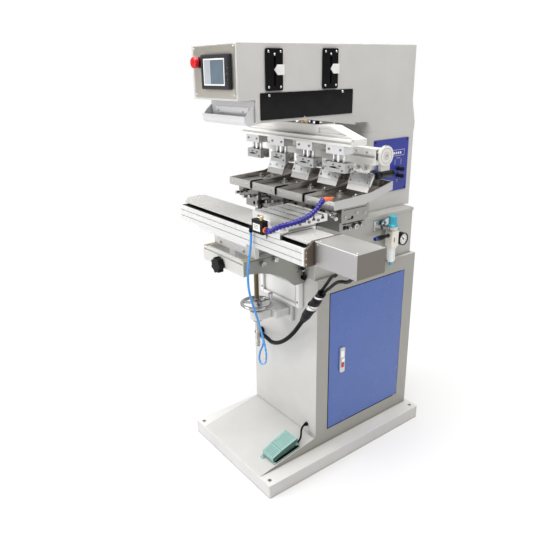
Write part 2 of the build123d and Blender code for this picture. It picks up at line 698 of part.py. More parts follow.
# Lift bracket: two gusset cheeks, flange with keepers round the guide, slotted top, clamp
# screws, front plate with the bore for the cross slide's adjusting screw
knob_x = -14.0
plate_bottom = bracket_top - 56
cheek_end = bracket_top - 51
cheek_foot = bracket_top - 144
knob_z = bracket_top - 46
lock_z = bracket_top - 119
cheek_inner = 110.0
cheek_profile = [(bracket_front, bracket_top), (-190, bracket_top), (-190, cheek_foot),
                 (-194, cheek_foot), (-226, cheek_foot + 28), (-263, cheek_foot + 53),
                 (-309, cheek_foot + 74), (-353, cheek_foot + 86), (-397, cheek_end),
                 (bracket_front, cheek_end)]
keeper_inner = guide_half_width + slide_gap
with BuildPart() as lift_bracket:
    side_prism(cheek_profile, -bracket_half_width, -cheek_inner)
    side_prism(cheek_profile, cheek_inner, bracket_half_width)
    block(-bracket_half_width, bracket_half_width, -190, guide_face - slide_gap, cheek_foot,
          bracket_top)
    for side in (-1, 1):
        near, far = sorted((side * keeper_inner, side * bracket_half_width))
        block(near, far, guide_face - slide_gap, cabinet_front - 3, cheek_foot, bracket_top)
    block(-cheek_inner, cheek_inner, -352, -190, bracket_top - 12, bracket_top)
    for side in (-1, 1):
        near, far = sorted((side * 49.7, side * 70.3))
        block(near, far, -353, -205, bracket_top - 13, bracket_top + 1, mode=Mode.SUBTRACT)
    block(-60, 60, -191, guide_face, bracket_top - 118, bracket_top - 38, mode=Mode.SUBTRACT)
    post((keeper_inner - 1, -154, lock_z), "x", 4.05, 12, mode=Mode.SUBTRACT)
    for sy, sz in ((-346, bracket_top - 20), (-291, bracket_top - 16)):
        post((bracket_half_width, sy, sz), "x", 5, 6)
        post((bracket_half_width + 6, sy, sz), "x", 8.5, 12)
    block(-bracket_half_width, bracket_half_width, bracket_front - 14, bracket_front, plate_bottom,
          bracket_top)
    block(-bracket_half_width - 1, bracket_half_width + 1, bracket_front - 15, bracket_front - 11,
          bracket_top - 14, bracket_top - 8, mode=Mode.SUBTRACT)
    post((knob_x, bracket_front - 20, knob_z), "y", 5.05, 25, mode=Mode.SUBTRACT)
lift_bracket.part.label = "lift_bracket"
export_step(lift_bracket.part, "parts/lift_bracket.step")

# Lock lever on the right keeper
with BuildPart() as lock_lever:
    post((keeper_inner + 1.2, -154, lock_z), "x", 4, 10)
    post((bracket_half_width + slide_gap, -154, lock_z), "x", 9, 12)
    with Locations(Location((bracket_half_width + 9, -154, lock_z), (20, 12, 0))):
        Cylinder(3.4, 46, align=(Align.CENTER, Align.CENTER, Align.MIN))
    with Locations((bracket_half_width + 18, -170, lock_z + 43)):
        Sphere(8.5)
lock_lever.part.label = "lock_lever"
export_step(lock_lever.part, "parts/lock_lever.step")

# Star knob with its adjusting screw
with BuildPart() as star_knob:
    with BuildSketch(Plane.XZ.offset(-(bracket_front - 16.5))):
        with Locations((knob_x, knob_z)):
            Circle(26)
            with PolarLocations(24, 7):
                Circle(6.5)
    extrude(amount=22)
    chamfer(star_knob.edges().group_by(Axis.Y)[0], length=1.5)
    post((knob_x, bracket_front - 17, knob_z), "y", 5, 80)
star_knob.part.label = "star_knob"
export_step(star_knob.part, "parts/star_knob.step")

# Table bracket: foot with keys, upright plate with the screw's lug, top flange
foot_bottom = bracket_top + slide_gap
with BuildPart() as table_bracket:
    block(-bracket_half_width, bracket_half_width, -372, -356, foot_bottom, shuttle_bottom - 12)
    block(-100, 100, -356, -230, foot_bottom, foot_bottom + 14)
    for side in (-1, 1):
        near, far = sorted((side * 50, side * 70))
        block(near, far, -340, -240, bracket_top - 11, foot_bottom)
        side_prism([(-356, foot_bottom + 14), (-356, shuttle_bottom - 12),
                    (-300, shuttle_bottom - 12), (-280, foot_bottom + 14)],
                   side * 60 - 6, side * 60 + 6)
    block(-165, 150, shuttle_front, -290, shuttle_bottom - 12, shuttle_bottom)
    block(knob_x - 18, knob_x + 18, -372, -356, knob_z - 14, foot_bottom)
    post((knob_x, -380, knob_z), "y", 5.05, 30, mode=Mode.SUBTRACT)
table_bracket.part.label = "table_bracket"
export_step(table_bracket.part, "parts/table_bracket.step")

# Shuttle rail with slots in its front and a joining plate at the right end
with BuildPart() as shuttle_rail:
    block(shuttle_left, shuttle_right, shuttle_front, shuttle_back, shuttle_bottom, shuttle_top)
    for gz in (shuttle_bottom + 17, shuttle_bottom + 40):
        block(shuttle_left - 1, shuttle_right + 1, shuttle_front - 1, shuttle_front + 2,
              gz - 1.5, gz + 1.5, mode=Mode.SUBTRACT)
        block(shuttle_left - 1, shuttle_right + 1, shuttle_back - 2, shuttle_back + 1,
              gz - 1.5, gz + 1.5, mode=Mode.SUBTRACT)
    side_prism([(shuttle_front + 6, shuttle_bottom - 1), (shuttle_front + 6, shuttle_top),
                (shuttle_front + 30, cover_top + 5), (shuttle_back + 12, cover_top + 5),
                (shuttle_back + 12, shuttle_bottom - 1)], shuttle_right, shuttle_right + 8)
    for gy in (-372, -333):
        block(shuttle_left + 20, shuttle_right - 22, gy - 5, gy + 5, shuttle_top - 6,
              shuttle_top + 1, mode=Mode.SUBTRACT)
shuttle_rail.part.label = "shuttle_rail"
export_step(shuttle_rail.part, "parts/shuttle_rail.step")

# Cover over the rail, standing on a block at each end
with BuildPart() as rail_cover:
    with BuildSketch(Plane.XY.offset(cover_top - 4)):
        with BuildLine():
            Polyline((-286, -406), (-345, -362), (-354, -300), (-340, -284), (449, -284),
                     (449, -406), close=True)
        make_face()
    extrude(amount=4)
    block(shuttle_left, -288, -372, -290, shuttle_top, cover_top - 4)
    block(shuttle_right - 32, shuttle_right - 1, -394, -290, shuttle_top, cover_top - 4)
rail_cover.part.label = "rail_cover"
export_step(rail_cover.part, "parts/rail_cover.step")

# Shuttle table: slotted top plate on a saddle that passes round the cover
with BuildPart() as shuttle_table:
    block(table_left, table_right, table_front, table_back, table_top - 24, table_top)
    for i in range(4):
        sy = table_front + 22 + 39 * i
        block(table_left - 1, table_right + 1, sy - 3.5, sy + 3.5, table_top - 8, table_top + 1,
              mode=Mode.SUBTRACT)
        block(table_left - 1, table_right + 1, sy - 7, sy + 7, table_top - 14, table_top - 7,
              mode=Mode.SUBTRACT)
    saddle_top = cover_top + 6
    block(table_left + 10, table_right - 6, table_front, -272, saddle_top, table_top - 24)
    block(195, table_right, -419, -271, cover_top + 1.5, saddle_top)
    block(195, table_right, -419, -409, shuttle_top + 1, saddle_top)
    block(195, table_right, -281, -271, shuttle_top + 1, saddle_top)
    block(195, 300, -419, -271, shuttle_top + 1, cover_top - 5)
    for ry in (-396, -306):
        block(205, 290, ry, ry + 14, shuttle_top + 0.05, shuttle_top + 2)
shuttle_table.part.label = "shuttle_table"
export_step(shuttle_table.part, "parts/shuttle_table.step")

# Motor box at the right end of the rail, with two cable glands below
gland_a = Vector(516, -344, shuttle_bottom - 15)
gland_b = Vector(588, -356, shuttle_bottom - 11)
gland_dir = Vector(0.62, -0.36, 0.70).normalized()
with BuildPart() as motor_box:
    block(shuttle_right + 8, shuttle_right + 183, -385, -269, shuttle_bottom - 1, cover_top + 5)
    fillet(motor_box.edges().filter_by(Axis.X), radius=3)
    for spot in (gland_a, gland_b):
        with BuildSketch(Plane(origin=spot, z_dir=gland_dir)):
            Circle(8)
        extrude(amount=32)
motor_box.part.label = "motor_box"
export_step(motor_box.part, "parts/motor_box.step")

# Air valve on the rail's front, with elbow, needle and hose seat
elbow_x = 197.0
valve_bottom = shuttle_top + 7
valve_top = shuttle_top + 51
elbow_z = shuttle_top + 17
seat_z = shuttle_top + 23
with BuildPart() as valve_block:
    block(217, 276, -442, shuttle_front - 1, valve_bottom, valve_top)
    fillet(valve_block.edges().filter_by(Axis.Y), radius=1.5)
    block(226, 268, shuttle_front - 4, shuttle_front, valve_bottom - 17, valve_bottom + 2)
    post((258, -432, valve_top - 1), "z", 4, 9)
    post((258, -432, valve_top + 7), "z", 6, 6)
    post((elbow_x - 5, -432, elbow_z), "x", 5, 218 - elbow_x + 5)
    with Locations((elbow_x, -432, elbow_z)):
        Sphere(6.5)
    post((elbow_x, -432, elbow_z - 13), "z", 6, 13)
    post((276, -432, seat_z), "x", 10, 7)
valve_block.part.label = "valve_block"
export_step(valve_block.part, "parts/valve_block.step")

# Jointed blowing hose with its nozzle
hose_route = [(283, -432, seat_z), (300, -432, seat_z), (319, -420, seat_z + 14),
              (341, -398, seat_z + 24), (352, -362, seat_z + 30), (353, -320, seat_z + 38),
              (352, -284, seat_z + 56), (351, -258, seat_z + 80)]
nozzle_z = seat_z + 83
bead_pitch = 12.0
bead_radius = 9.0
neck_radius = 6.6
hose_bore = 4.0


def hose_ring(line, length, radius):
    # Circle square to the hose, its X axis level
    share = length / line.length
    along = line % share
    square = Plane(origin=line @ share, x_dir=Vector(0, 0, 1).cross(along), z_dir=along)
    with BuildSketch(square, mode=Mode.PRIVATE) as ring:
        Circle(radius)
    return ring.sketch.face()


with BuildPart() as blower_hose:
    pts, radii = cord_path(hose_route)
    with BuildLine():
        hose_line = FilletPolyline(*pts, radius=radii)
    beads = int(hose_line.length // bead_pitch)
    step = hose_line.length / beads
    rings = [hose_ring(hose_line, 0, neck_radius)]
    for i in range(beads):
        for share, radius in ((0.16, neck_radius), (0.32, bead_radius), (0.68, bead_radius),
                              (0.84, neck_radius)):
            rings.append(hose_ring(hose_line, (i + share) * step, radius))
    rings.append(hose_ring(hose_line, hose_line.length, neck_radius))
    loft(rings, ruled=True)
    with BuildSketch(Plane(origin=hose_line @ 0, z_dir=hose_line % 0)):
        Circle(hose_bore)
    sweep(path=hose_line, mode=Mode.SUBTRACT)
    end_plane = Plane(origin=hose_line @ 1, z_dir=hose_line % 1)
    with Locations(end_plane.location):
        Sphere(bead_radius + 0.5)
    post((350, -254, nozzle_z), "y", 7.5, 14)
    post((350, -240, nozzle_z), "y", 7, 29, tip=3.5)
    post((350, -222, nozzle_z), "y", 2, 12, mode=Mode.SUBTRACT)
blower_hose.part.label = "blower_hose"
export_step(blower_hose.part, "parts/blower_hose.step")

# Tray bed on the deck
with BuildPart() as tray_bed:
    block(-190, 190, bed_front, bed_back, deck_top, 1008)
    block(bed_left, 300, bed_front + 6, bed_back, 1008, 1042)
    for sx in stations:
        block(sx - 68, sx + 71, bed_front, bed_back, 1042, tray_floor)
        block(sx - 40, sx - 24, bed_front - 1, bed_back + 1, 1066, 1074, mode=Mode.SUBTRACT)
    block(-300, 312, bed_front + 24, bed_back - 8, 1038, 1046)
    post((-205, bed_front - 1, 1024), "y", 8, 60, mode=Mode.SUBTRACT)
    for sx in (-150, -50, 50, 150):
        post((sx, bed_front + 1, 1024), "y", 5, 5)
tray_bed.part.label = "tray_bed"
export_step(tray_bed.part, "parts/tray_bed.step")

# Adjusting screws and clamps on the front of the tray bed
adjusters = ((-289, 1059), (-235, 1050), (-195, 1057), (-136, 1063), (-79, 1054), (-37, 1061),
             (23, 1065), (61, 1069), (92, 1056), (130, 1070), (182, 1063), (246, 1060),
             (297, 1079))
with BuildPart() as tray_screws:
    for ax, az in adjusters:
        post((ax, bed_front - 14, az), "y", 3.2, 14)
        post((ax, bed_front - 27, az), "y", 6.2, 13)
    for cx in (-121, 39, 193):
        block(cx - 12, cx + 12, bed_front - 15, bed_front, 1077, 1092)
    block(-250, -230, bed_front - 12, bed_front, 1074, 1092)
    post((-120, bed_front - 24, 1046), "y", 8, 24)
    with BuildSketch(Plane.XZ.offset(-(bed_front - 22))):
        with Locations((-120, 1036)):
            SlotOverall(44, 20, rotation=90)
    extrude(amount=8)
tray_screws.part.label = "tray_screws"
export_step(tray_screws.part, "parts/tray_screws.step")


def tray_shape(x):
    # Open trough, level in front and rising behind
    side_prism([(tray_front, tray_floor), (tray_front, tray_rim), (0, tray_rim + 7),
                (tray_back, tray_back_rim), (tray_back, 1127), (-30, tray_floor)],
               x - tray_half_width, x + tray_half_width)
    side_prism([(tray_front + tray_wall, 1099), (tray_front + tray_wall, 1175),
                (tray_back - tray_wall, 1175), (tray_back - tray_wall, 1130.3), (-30, 1099)],
               x - tray_half_width + tray_wall, x + tray_half_width - tray_wall,
               mode=Mode.SUBTRACT)


with BuildPart() as ink_tray_1:
    tray_shape(stations[0])
ink_tray_1.part.label = "ink_tray_1"
export_step(ink_tray_1.part, "parts/ink_tray_1.step")

with BuildPart() as ink_tray_2:
    tray_shape(stations[1])
ink_tray_2.part.label = "ink_tray_2"
export_step(ink_tray_2.part, "parts/ink_tray_2.step")

with BuildPart() as ink_tray_3:
    tray_shape(stations[2])
ink_tray_3.part.label = "ink_tray_3"
export_step(ink_tray_3.part, "parts/ink_tray_3.step")

with BuildPart() as ink_tray_4:
    tray_shape(stations[3])
ink_tray_4.part.label = "ink_tray_4"
export_step(ink_tray_4.part, "parts/ink_tray_4.step")

# Printing plates with their clamps, one in each tray
with BuildPart() as printing_plates:
    for sx in stations:
        block(sx - 62, sx + 62, tray_front + 14, -32, 1099, 1112)
        block(sx - 50, sx - 26, -46, -34, 1112, 1119)
        block(sx + 30, sx + 54, -46, -34, 1112, 1119)
        post((sx - 38, -40, 1119), "z", 4, 3)
        post((sx + 42, -40, 1119), "z", 4, 3)
printing_plates.part.label = "printing_plates"
export_step(printing_plates.part, "parts/printing_plates.step")

# Carriage with side shoes on the ledges, cylinder block and bores for the rods
with BuildPart() as pad_carriage:
    block(-118, 118, carriage_front, carriage_back, carriage_bottom, carriage_top)
    block(-118, 118, carriage_front + 10, carriage_back - 10, carriage_top, ledge_top + 18)
    for side in (-1, 1):
        near, far = sorted((side * 116, side * 131))
        block(near, far, carriage_front + 10, carriage_back - 10, ledge_top + slide_gap,
              ledge_top + 18)
        block(near, far, carriage_front + 10, carriage_back - 10, ledge_bottom - 18,
              ledge_bottom - slide_gap)
    block(-34, 34, guide_rod_y - 32, guide_rod_y + 32, ledge_top + 18, 1604)
    chamfer(pad_carriage.edges().filter_by(Axis.Z).group_by(Axis.Z)[-1], length=6)
    for rx in (-guide_rod_x, guide_rod_x):
        post((rx, guide_rod_y, carriage_bottom - 1), "z", guide_rod_radius + running_gap, 200,
             mode=Mode.SUBTRACT)
        post((rx, 26, carriage_bottom - 1), "z", 7 + running_gap, 200, mode=Mode.SUBTRACT)
    post((0, guide_rod_y, carriage_bottom - 1), "z", guide_rod_radius + running_gap, 150,
         mode=Mode.SUBTRACT)
    post((0, guide_rod_y, piston_bottom - pad_travel - 6), "z", piston_radius + running_gap,
         pad_travel + 90 - 72 + 6, mode=Mode.SUBTRACT)
pad_carriage.part.label = "pad_carriage"
export_step(pad_carriage.part, "parts/pad_carriage.step")

# Pad beam: slotted bar, hub that slopes to both ends, guide rods and piston
with BuildPart() as pad_beam:
    block(beam_left, beam_right, beam_front, beam_back, beam_bottom, beam_ledge)
    block(beam_left - 1, beam_right + 1, beam_front - 1, beam_front + 4, 1306, 1313,
          mode=Mode.SUBTRACT)
    block(beam_left - 1, beam_right + 1, beam_front + 8, beam_front + 14, beam_ledge - 6,
          beam_ledge + 1, mode=Mode.SUBTRACT)
    front_prism([(beam_left + 8, beam_ledge), (-190, beam_crown + 8), (200, beam_crown + 8),
                 (beam_right - 4, beam_ledge)], beam_front + 20, beam_back - 4)
    front_prism([(beam_left + 40, beam_ledge + 10), (-184, beam_crown - 2), (-130, beam_crown - 2),
                 (-130, beam_ledge + 10)], beam_front + 19, beam_front + 23, mode=Mode.SUBTRACT)
    front_prism([(beam_right - 36, beam_ledge + 10), (194, beam_crown - 2), (140, beam_crown - 2),
                 (140, beam_ledge + 10)], beam_front + 19, beam_front + 23, mode=Mode.SUBTRACT)
    for rx in (-guide_rod_x, guide_rod_x):
        post((rx, guide_rod_y, beam_crown + 8), "z", 14, 8)
        post((rx, guide_rod_y, beam_crown + 8), "z", guide_rod_radius, 225)
    post((0, guide_rod_y, beam_crown + 8), "z", 16, 8)
    post((0, guide_rod_y, beam_crown + 8), "z", guide_rod_radius, 225)
    post((0, guide_rod_y, piston_bottom), "z", piston_radius, 12)
pad_beam.part.label = "pad_beam"
export_step(pad_beam.part, "parts/pad_beam.step")

# Pad holders, one on each station
with BuildPart() as pad_holders:
    for sx in stations:
        block(sx - 43, sx + 43, beam_front, beam_front + 44, 1268, beam_bottom)
        post((sx, beam_front + 24, 1238), "z", 9, 32)
        post((sx - 26, beam_front + 24, 1238), "z", 5, 32)
        post((sx + 26, beam_front + 24, 1238), "z", 5, 32)
        block(sx - 45, sx + 45, beam_front + 6, beam_front + 50, holder_bottom, 1240)
        block(sx - 46, sx + 46, beam_front + 22, beam_front + 34, holder_bottom - 1,
              holder_bottom + 9, mode=Mode.SUBTRACT)
        block(sx - 20, sx + 20, beam_front + 5, beam_front + 9, 1219, 1225, mode=Mode.SUBTRACT)
        post((sx + 45, beam_front + 28, 1226), "x", 4.5, 5)
pad_holders.part.label = "pad_holders"
export_step(pad_holders.part, "parts/pad_holders.step")

# Blade bar with its rods, end arm, disc and cylinder
with BuildPart() as blade_bar:
    block(bar_left, bar_right, bar_front, bar_back, bar_bottom, bar_top)
    block(bar_left - 1, bar_right + 1, bar_front - 1, bar_front + 4, 1250, 1258, mode=Mode.SUBTRACT)
    for rx in (-guide_rod_x, guide_rod_x):
        post((rx, 26, bar_top - 1), "z", 7, 160)
        post((rx, 26, bar_top - 1), "z", 13, 9)
    block(308, bar_right, bar_back, 90, 1176, bar_top)
    post((bar_right, 60, 1254), "x", 36.5, 9)
    fillet(blade_bar.edges().group_by(Axis.X)[-1], radius=2)
    post((322, 60, 1254), "x", 8, 9)
    post((316, 30, 1187), "y", 13, 78)
    for bz in (1234, 1268):
        post((bar_right, 25, bz), "x", 4.5, 3)
blade_bar.part.label = "blade_bar"
export_step(blade_bar.part, "parts/blade_bar.step")

# Blade holders with knobs, leaning clamp plates and blades
blade_shift = 16.0
with BuildPart() as blade_holders:
    for sx in stations:
        bx = sx + blade_shift
        block(bx - 40, bx + 40, bar_front + 2, bar_back, 1196, bar_bottom)
        block(bx - 28, bx + 28, bar_front + 6, bar_front + 20, 1180, 1197)
        side_prism([(bar_front + 16, 1190), (bar_front + 7, 1194), (bar_front - 12, 1152),
                    (bar_front - 6, 1149)], bx - 54, bx + 54)
        side_prism([(bar_front - 6, 1152), (bar_front - 9, 1153.4), (bar_front - 18.4, 1130.4),
                    (bar_front - 17, 1129.8)], bx - 52, bx + 52)
        post((bx - 18, bar_front - 12, 1211), "y", 7, 14)
        post((bx + 18, bar_front - 12, 1211), "y", 7, 14)
blade_holders.part.label = "blade_holders"
export_step(blade_holders.part, "parts/blade_holders.step")


def ramp_z(y):
    # Height of the ramp's face
    return base_height + ramp_slope * (y - ramp_front)


# Foot pedal: base on the ramp and hinged tread that covers it
ramp_angle = math.atan(ramp_slope)
pedal_right = pedal_left + pedal_width
flange = 5.0
pin_along = 12.0
pin_height = 14.0
pin_radius = 2.0


def on_ramp(along, height):
    # (y, z) of a point of the pedal, from its front edge up the ramp and off the ramp's face
    y = pedal_front + along * math.cos(ramp_angle) - height * math.sin(ramp_angle)
    z = ramp_z(pedal_front) + along * math.sin(ramp_angle) + height * math.cos(ramp_angle)
    return y, z


pin_y, pin_z = on_ramp(pin_along, pin_height)
with BuildPart() as pedal_base:
    side_prism([on_ramp(0, 0), on_ramp(0, flange), on_ramp(pedal_length, flange),
                on_ramp(pedal_length, 0)], pedal_left, pedal_right)
    side_prism([on_ramp(20, flange), on_ramp(20, 14), on_ramp(pedal_length - 12, 24),
                on_ramp(pedal_length - 12, flange)], pedal_left + 14, pedal_right - 14)
    for lug in (pedal_left + 9, pedal_right - 14):
        side_prism([on_ramp(pin_along - 4.5, flange), on_ramp(pin_along - 4.5, pin_height + 4.5),
                    on_ramp(pin_along + 4.5, pin_height + 4.5), on_ramp(pin_along + 4.5, flange)],
                   lug, lug + 5)
    post((pedal_left, pin_y, pin_z), "x", pin_radius + running_gap, pedal_width, mode=Mode.SUBTRACT)
    side_prism([on_ramp(pedal_length - 12, flange), on_ramp(pedal_length - 12, flange + 12),
                on_ramp(pedal_length, flange + 12), on_ramp(pedal_length, flange)],
               pedal_right - 26, pedal_right - 8)
    side_prism([on_ramp(-13, 0), on_ramp(-13, 3), on_ramp(0, 3), on_ramp(0, 0)],
               pedal_left + 4, pedal_left + 20)
pedal_base.part.label = "pedal_base"
export_step(pedal_base.part, "parts/pedal_base.step")

tread_gap = 2.0
with BuildPart() as pedal_tread:
    side_prism([on_ramp(2, 8), on_ramp(2, 27), on_ramp(48, 37), on_ramp(pedal_length - 2, 47),
                on_ramp(pedal_length - 2, 30), on_ramp(14, 8)],
               pedal_left + tread_gap, pedal_right - tread_gap)
    with BuildSketch(Plane.XY.offset(ramp_z(pedal_front) - 10), mode=Mode.PRIVATE) as taper:
        with BuildLine():
            Polyline((pedal_left + tread_gap + pedal_taper, pedal_front - 12),
                     (pedal_right - tread_gap - pedal_taper, pedal_front - 12),
                     (pedal_right - tread_gap, pedal_front + pedal_length),
                     (pedal_left + tread_gap, pedal_front + pedal_length), close=True)
        make_face()
    extrude(taper.sketch, amount=120, mode=Mode.INTERSECT)
    inner = tread_gap + pedal_taper + tread_wall
    side_prism([on_ramp(2 + tread_wall, 0), on_ramp(2 + tread_wall, 24), on_ramp(48, 34),
                on_ramp(pedal_length + 2, 44), on_ramp(pedal_length + 2, 0)],
               pedal_left + inner, pedal_right - inner, mode=Mode.SUBTRACT)
    post((pedal_left + tread_gap + 2, pin_y, pin_z), "x", pin_radius,
         pedal_width - 2 * tread_gap - 4)
pedal_tread.part.label = "pedal_tread"
export_step(pedal_tread.part, "parts/pedal_tread.step")

# Fittings on the column's front: two elbows and the gland of the pedal's cord
conduit_port = Vector(-150, cabinet_front - 28, 466)
tube_port = Vector(-148, cabinet_front - 23, 444)
pedal_port = Vector(152, cabinet_front - 8, 146)
with BuildPart() as front_glands:
    for port, outer, reach in ((conduit_port, 12, 16), (tube_port, 6.5, 12)):
        post((port.X, port.Y, port.Z), "y", outer - 1, cabinet_front - port.Y)
        post((port.X, cabinet_front - 8, port.Z), "y", outer + 3, 8)
        post((port.X, port.Y, port.Z), "x", outer, reach)
        with Locations((port.X, port.Y, port.Z)):
            Sphere(outer)
    post((pedal_port.X, pedal_port.Y, pedal_port.Z), "y", 8, 8)
front_glands.part.label = "front_glands"
export_step(front_glands.part, "parts/front_glands.step")

# Plug connector between the conduit and the two motor cables
plug_low = Vector(205, -212, 662)
plug_high = Vector(330, -234, 816)
plug_dir = (plug_high - plug_low).normalized()
plug_length = (plug_high - plug_low).length


def along_plug(start, radius, length, mode=Mode.ADD, tip=None):
    # Round section of the plug, starting at a distance from its low end
    with Locations(Plane(origin=plug_low + plug_dir * start, z_dir=plug_dir).location):
        if tip is None:
            Cylinder(radius, length, align=(Align.CENTER, Align.CENTER, Align.MIN), mode=mode)
        else:
            Cone(radius, tip, length, align=(Align.CENTER, Align.CENTER, Align.MIN), mode=mode)


with BuildPart() as plug_connector:
    along_plug(0, 12, 14)
    along_plug(14, 14, 22, tip=17)
    along_plug(36, 17.5, 56)
    along_plug(92, 20, 22)
    along_plug(114, 17.5, 40)
    along_plug(154, 17, 14, tip=14)
    along_plug(168, 15, plug_length - 168)
plug_connector.part.label = "plug_connector"
export_step(plug_connector.part, "parts/plug_connector.step")


def cord(name, points, radius, end_share=0.45):
    # Round cord along a route, reported for length and bends
    pts, radii = cord_path(points, end_share)
    with BuildPart() as piece:
        with BuildLine():
            line = FilletPolyline(*pts, radius=radii)
        with BuildSketch(Plane(origin=line @ 0, z_dir=line % 0)):
            Circle(radius)
        sweep()
    report_cord(name, piece.part, line, radius, radii)
    return piece.part


# Conduit from the plug down to its elbow on the column
conduit_route = [tuple(plug_low), tuple(plug_low - plug_dir * 36), (152, -207, 594),
                 (112, -204, 551), (66, -201, 513), (20, -196, 486), (-26, -188, 470),
                 (-62, -176, 466), (-98, conduit_port.Y, 466),
                 (conduit_port.X + 16, conduit_port.Y, 466)]
conduit = cord("conduit", conduit_route, conduit_radius)
conduit.label = "conduit"
export_step(conduit, "parts/conduit.step")

# Motor cables from the plug up to the motor box
plug_side = plug_dir.cross(Vector(0, 0, 1)).normalized()
plug_up = plug_side.cross(plug_dir)
start_a = plug_high + plug_up * 6.5
start_b = plug_high - plug_up * 6.5
cable_a_route = [tuple(start_a), tuple(start_a + plug_dir * 26), (370, -247, 869),
                 (405, -268, 899), (446, -296, 928), tuple(gland_a - gland_dir * 32),
                 tuple(gland_a)]
motor_cable_a = cord("motor_cable_a", cable_a_route, cable_radius)
motor_cable_a.label = "motor_cable_a"
export_step(motor_cable_a, "parts/motor_cable_a.step")

cable_b_route = [tuple(start_b), tuple(start_b + plug_dir * 26), (388, -252, 858),
                 (436, -278, 894), (492, -310, 927), tuple(gland_b - gland_dir * 34),
                 tuple(gland_b)]
motor_cable_b = cord("motor_cable_b", cable_b_route, cable_radius)
motor_cable_b.label = "motor_cable_b"
export_step(motor_cable_b, "parts/motor_cable_b.step")

# Air tube from the valve's elbow to its elbow on the column
tube_route = [(elbow_x, -432, elbow_z - 13), (elbow_x, -432, elbow_z - 46), (192, -434, 975), (186, -437, 935),
              (179, -438, 885), (176, -434, 832), (175, -421, 780), (168, -396, 715),
              (148, -364, 642), (114, -325, 563), (74, -288, 490), (28, -257, 420),
              (-16, -240, 386), (-50, -228, 371), (-78, -216, 380), (-86, -204, 404),
              (-84, -190, 428), (-100, -174, 442), (-118, tube_port.Y, tube_port.Z),
              (tube_port.X + 12, tube_port.Y, tube_port.Z)]
air_tube = cord("air_tube", tube_route, tube_radius)
air_tube.label = "air_tube"
export_step(air_tube, "parts/air_tube.step")

# Pedal cord from the pedal's back to its gland on the column
pedal_exit = on_ramp(pedal_length, flange + 6)
pedal_lead = on_ramp(pedal_length + 24.4, flange + 6)
pedal_cord_route = [(pedal_right - 17, *pedal_exit), (pedal_right - 17, *pedal_lead),
                    (pedal_port.X, pedal_port.Y - 24.4, pedal_port.Z), tuple(pedal_port)]
pedal_cord = cord("pedal_cord", pedal_cord_route, pedal_cord_radius, end_share=0.9)
pedal_cord.label = "pedal_cord"
export_step(pedal_cord, "parts/pedal_cord.step")
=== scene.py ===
# Pad printing machine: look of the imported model, in metres
import math

import bmesh
import bpy
from mathutils import Matrix, Vector


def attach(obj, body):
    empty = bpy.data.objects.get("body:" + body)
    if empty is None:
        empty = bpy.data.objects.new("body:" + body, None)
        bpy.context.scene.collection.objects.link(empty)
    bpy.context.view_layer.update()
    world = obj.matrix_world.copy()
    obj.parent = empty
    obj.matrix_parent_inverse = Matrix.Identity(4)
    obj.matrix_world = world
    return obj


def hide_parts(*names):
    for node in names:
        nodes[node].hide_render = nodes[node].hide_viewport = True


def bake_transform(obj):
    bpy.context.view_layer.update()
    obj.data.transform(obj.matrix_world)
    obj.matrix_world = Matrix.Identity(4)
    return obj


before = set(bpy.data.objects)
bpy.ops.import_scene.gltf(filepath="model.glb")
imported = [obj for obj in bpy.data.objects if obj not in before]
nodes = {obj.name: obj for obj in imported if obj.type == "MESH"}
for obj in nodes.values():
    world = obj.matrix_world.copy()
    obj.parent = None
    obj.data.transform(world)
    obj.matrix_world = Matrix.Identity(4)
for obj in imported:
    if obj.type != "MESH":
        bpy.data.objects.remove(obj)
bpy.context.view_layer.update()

# Camera, as the photo's edges place it
camera_place = Vector((1.6344, -1.4368, 1.5457))
camera_look = Vector((-0.7566, 0.5611, -0.3356))
camera_roll = math.radians(-1.0785)
photo_focal = 553.96
photo_width = 533

# Widths of the cords
conduit_width = 0.017
cable_width = 0.011
tube_width = 0.008
pedal_cord_width = 0.008


def mm(*points):
    # Points in millimetres as vectors in metres
    return [Vector(p) / 1000 for p in points]


def new_object(name, data):
    # Object in the scene
    o = bpy.data.objects.new(name, data)
    bpy.context.scene.collection.objects.link(o)
    return o


def empty_tree(owner):
    # Cleared node tree of a material or world
    owner.use_nodes = True
    owner.node_tree.nodes.clear()
    return owner.node_tree

# Camera
camera_data = bpy.data.cameras.new("camera")
sensor_width = 36
camera_data.sensor_width = sensor_width
camera_data.lens = sensor_width * photo_focal / photo_width
camera_data.clip_end = 100
camera = new_object("camera", camera_data)
view_turn = camera_look.to_track_quat("-Z", "Y").to_matrix().to_4x4()
roll_turn = Matrix.Rotation(camera_roll, 4, "Z")
camera.matrix_world = Matrix.Translation(camera_place) @ view_turn @ roll_turn
bpy.context.scene.camera = camera


# Materials
def feed(tree, target, source):
    # One input: a link from a socket, or a value
    if isinstance(source, bpy.types.NodeSocket):
        tree.links.new(source, target)
    else:
        target.default_value = source


def fed(target):
    # What an input has now: the socket that feeds it, or its value
    return target.links[0].from_socket if target.links else target.default_value


def wire(tree, kind, inputs=(), **settings):
    # Node with its settings, and its inputs as values or as sockets to link
    n = tree.nodes.new(kind)
    for key, value in settings.items():
        setattr(n, key, value)
    for key, source in dict(inputs).items():
        feed(tree, n.inputs[key], source)
    return n


def calculate(tree, operation, *values):
    # Result of a sum on values or sockets
    return wire(tree, "ShaderNodeMath", enumerate(values), operation=operation).outputs[0]


def map_range(tree, source, old, new, **settings):
    # One range of a value spread over another
    ends = {"From Min": old[0], "From Max": old[1], "To Min": new[0], "To Max": new[1]}
    return wire(tree, "ShaderNodeMapRange", {"Value": source, **ends}, **settings).outputs["Result"]


def object_place(tree):
    # Place in the row frame
    return tree.nodes.new("ShaderNodeTexCoord").outputs["Object"]


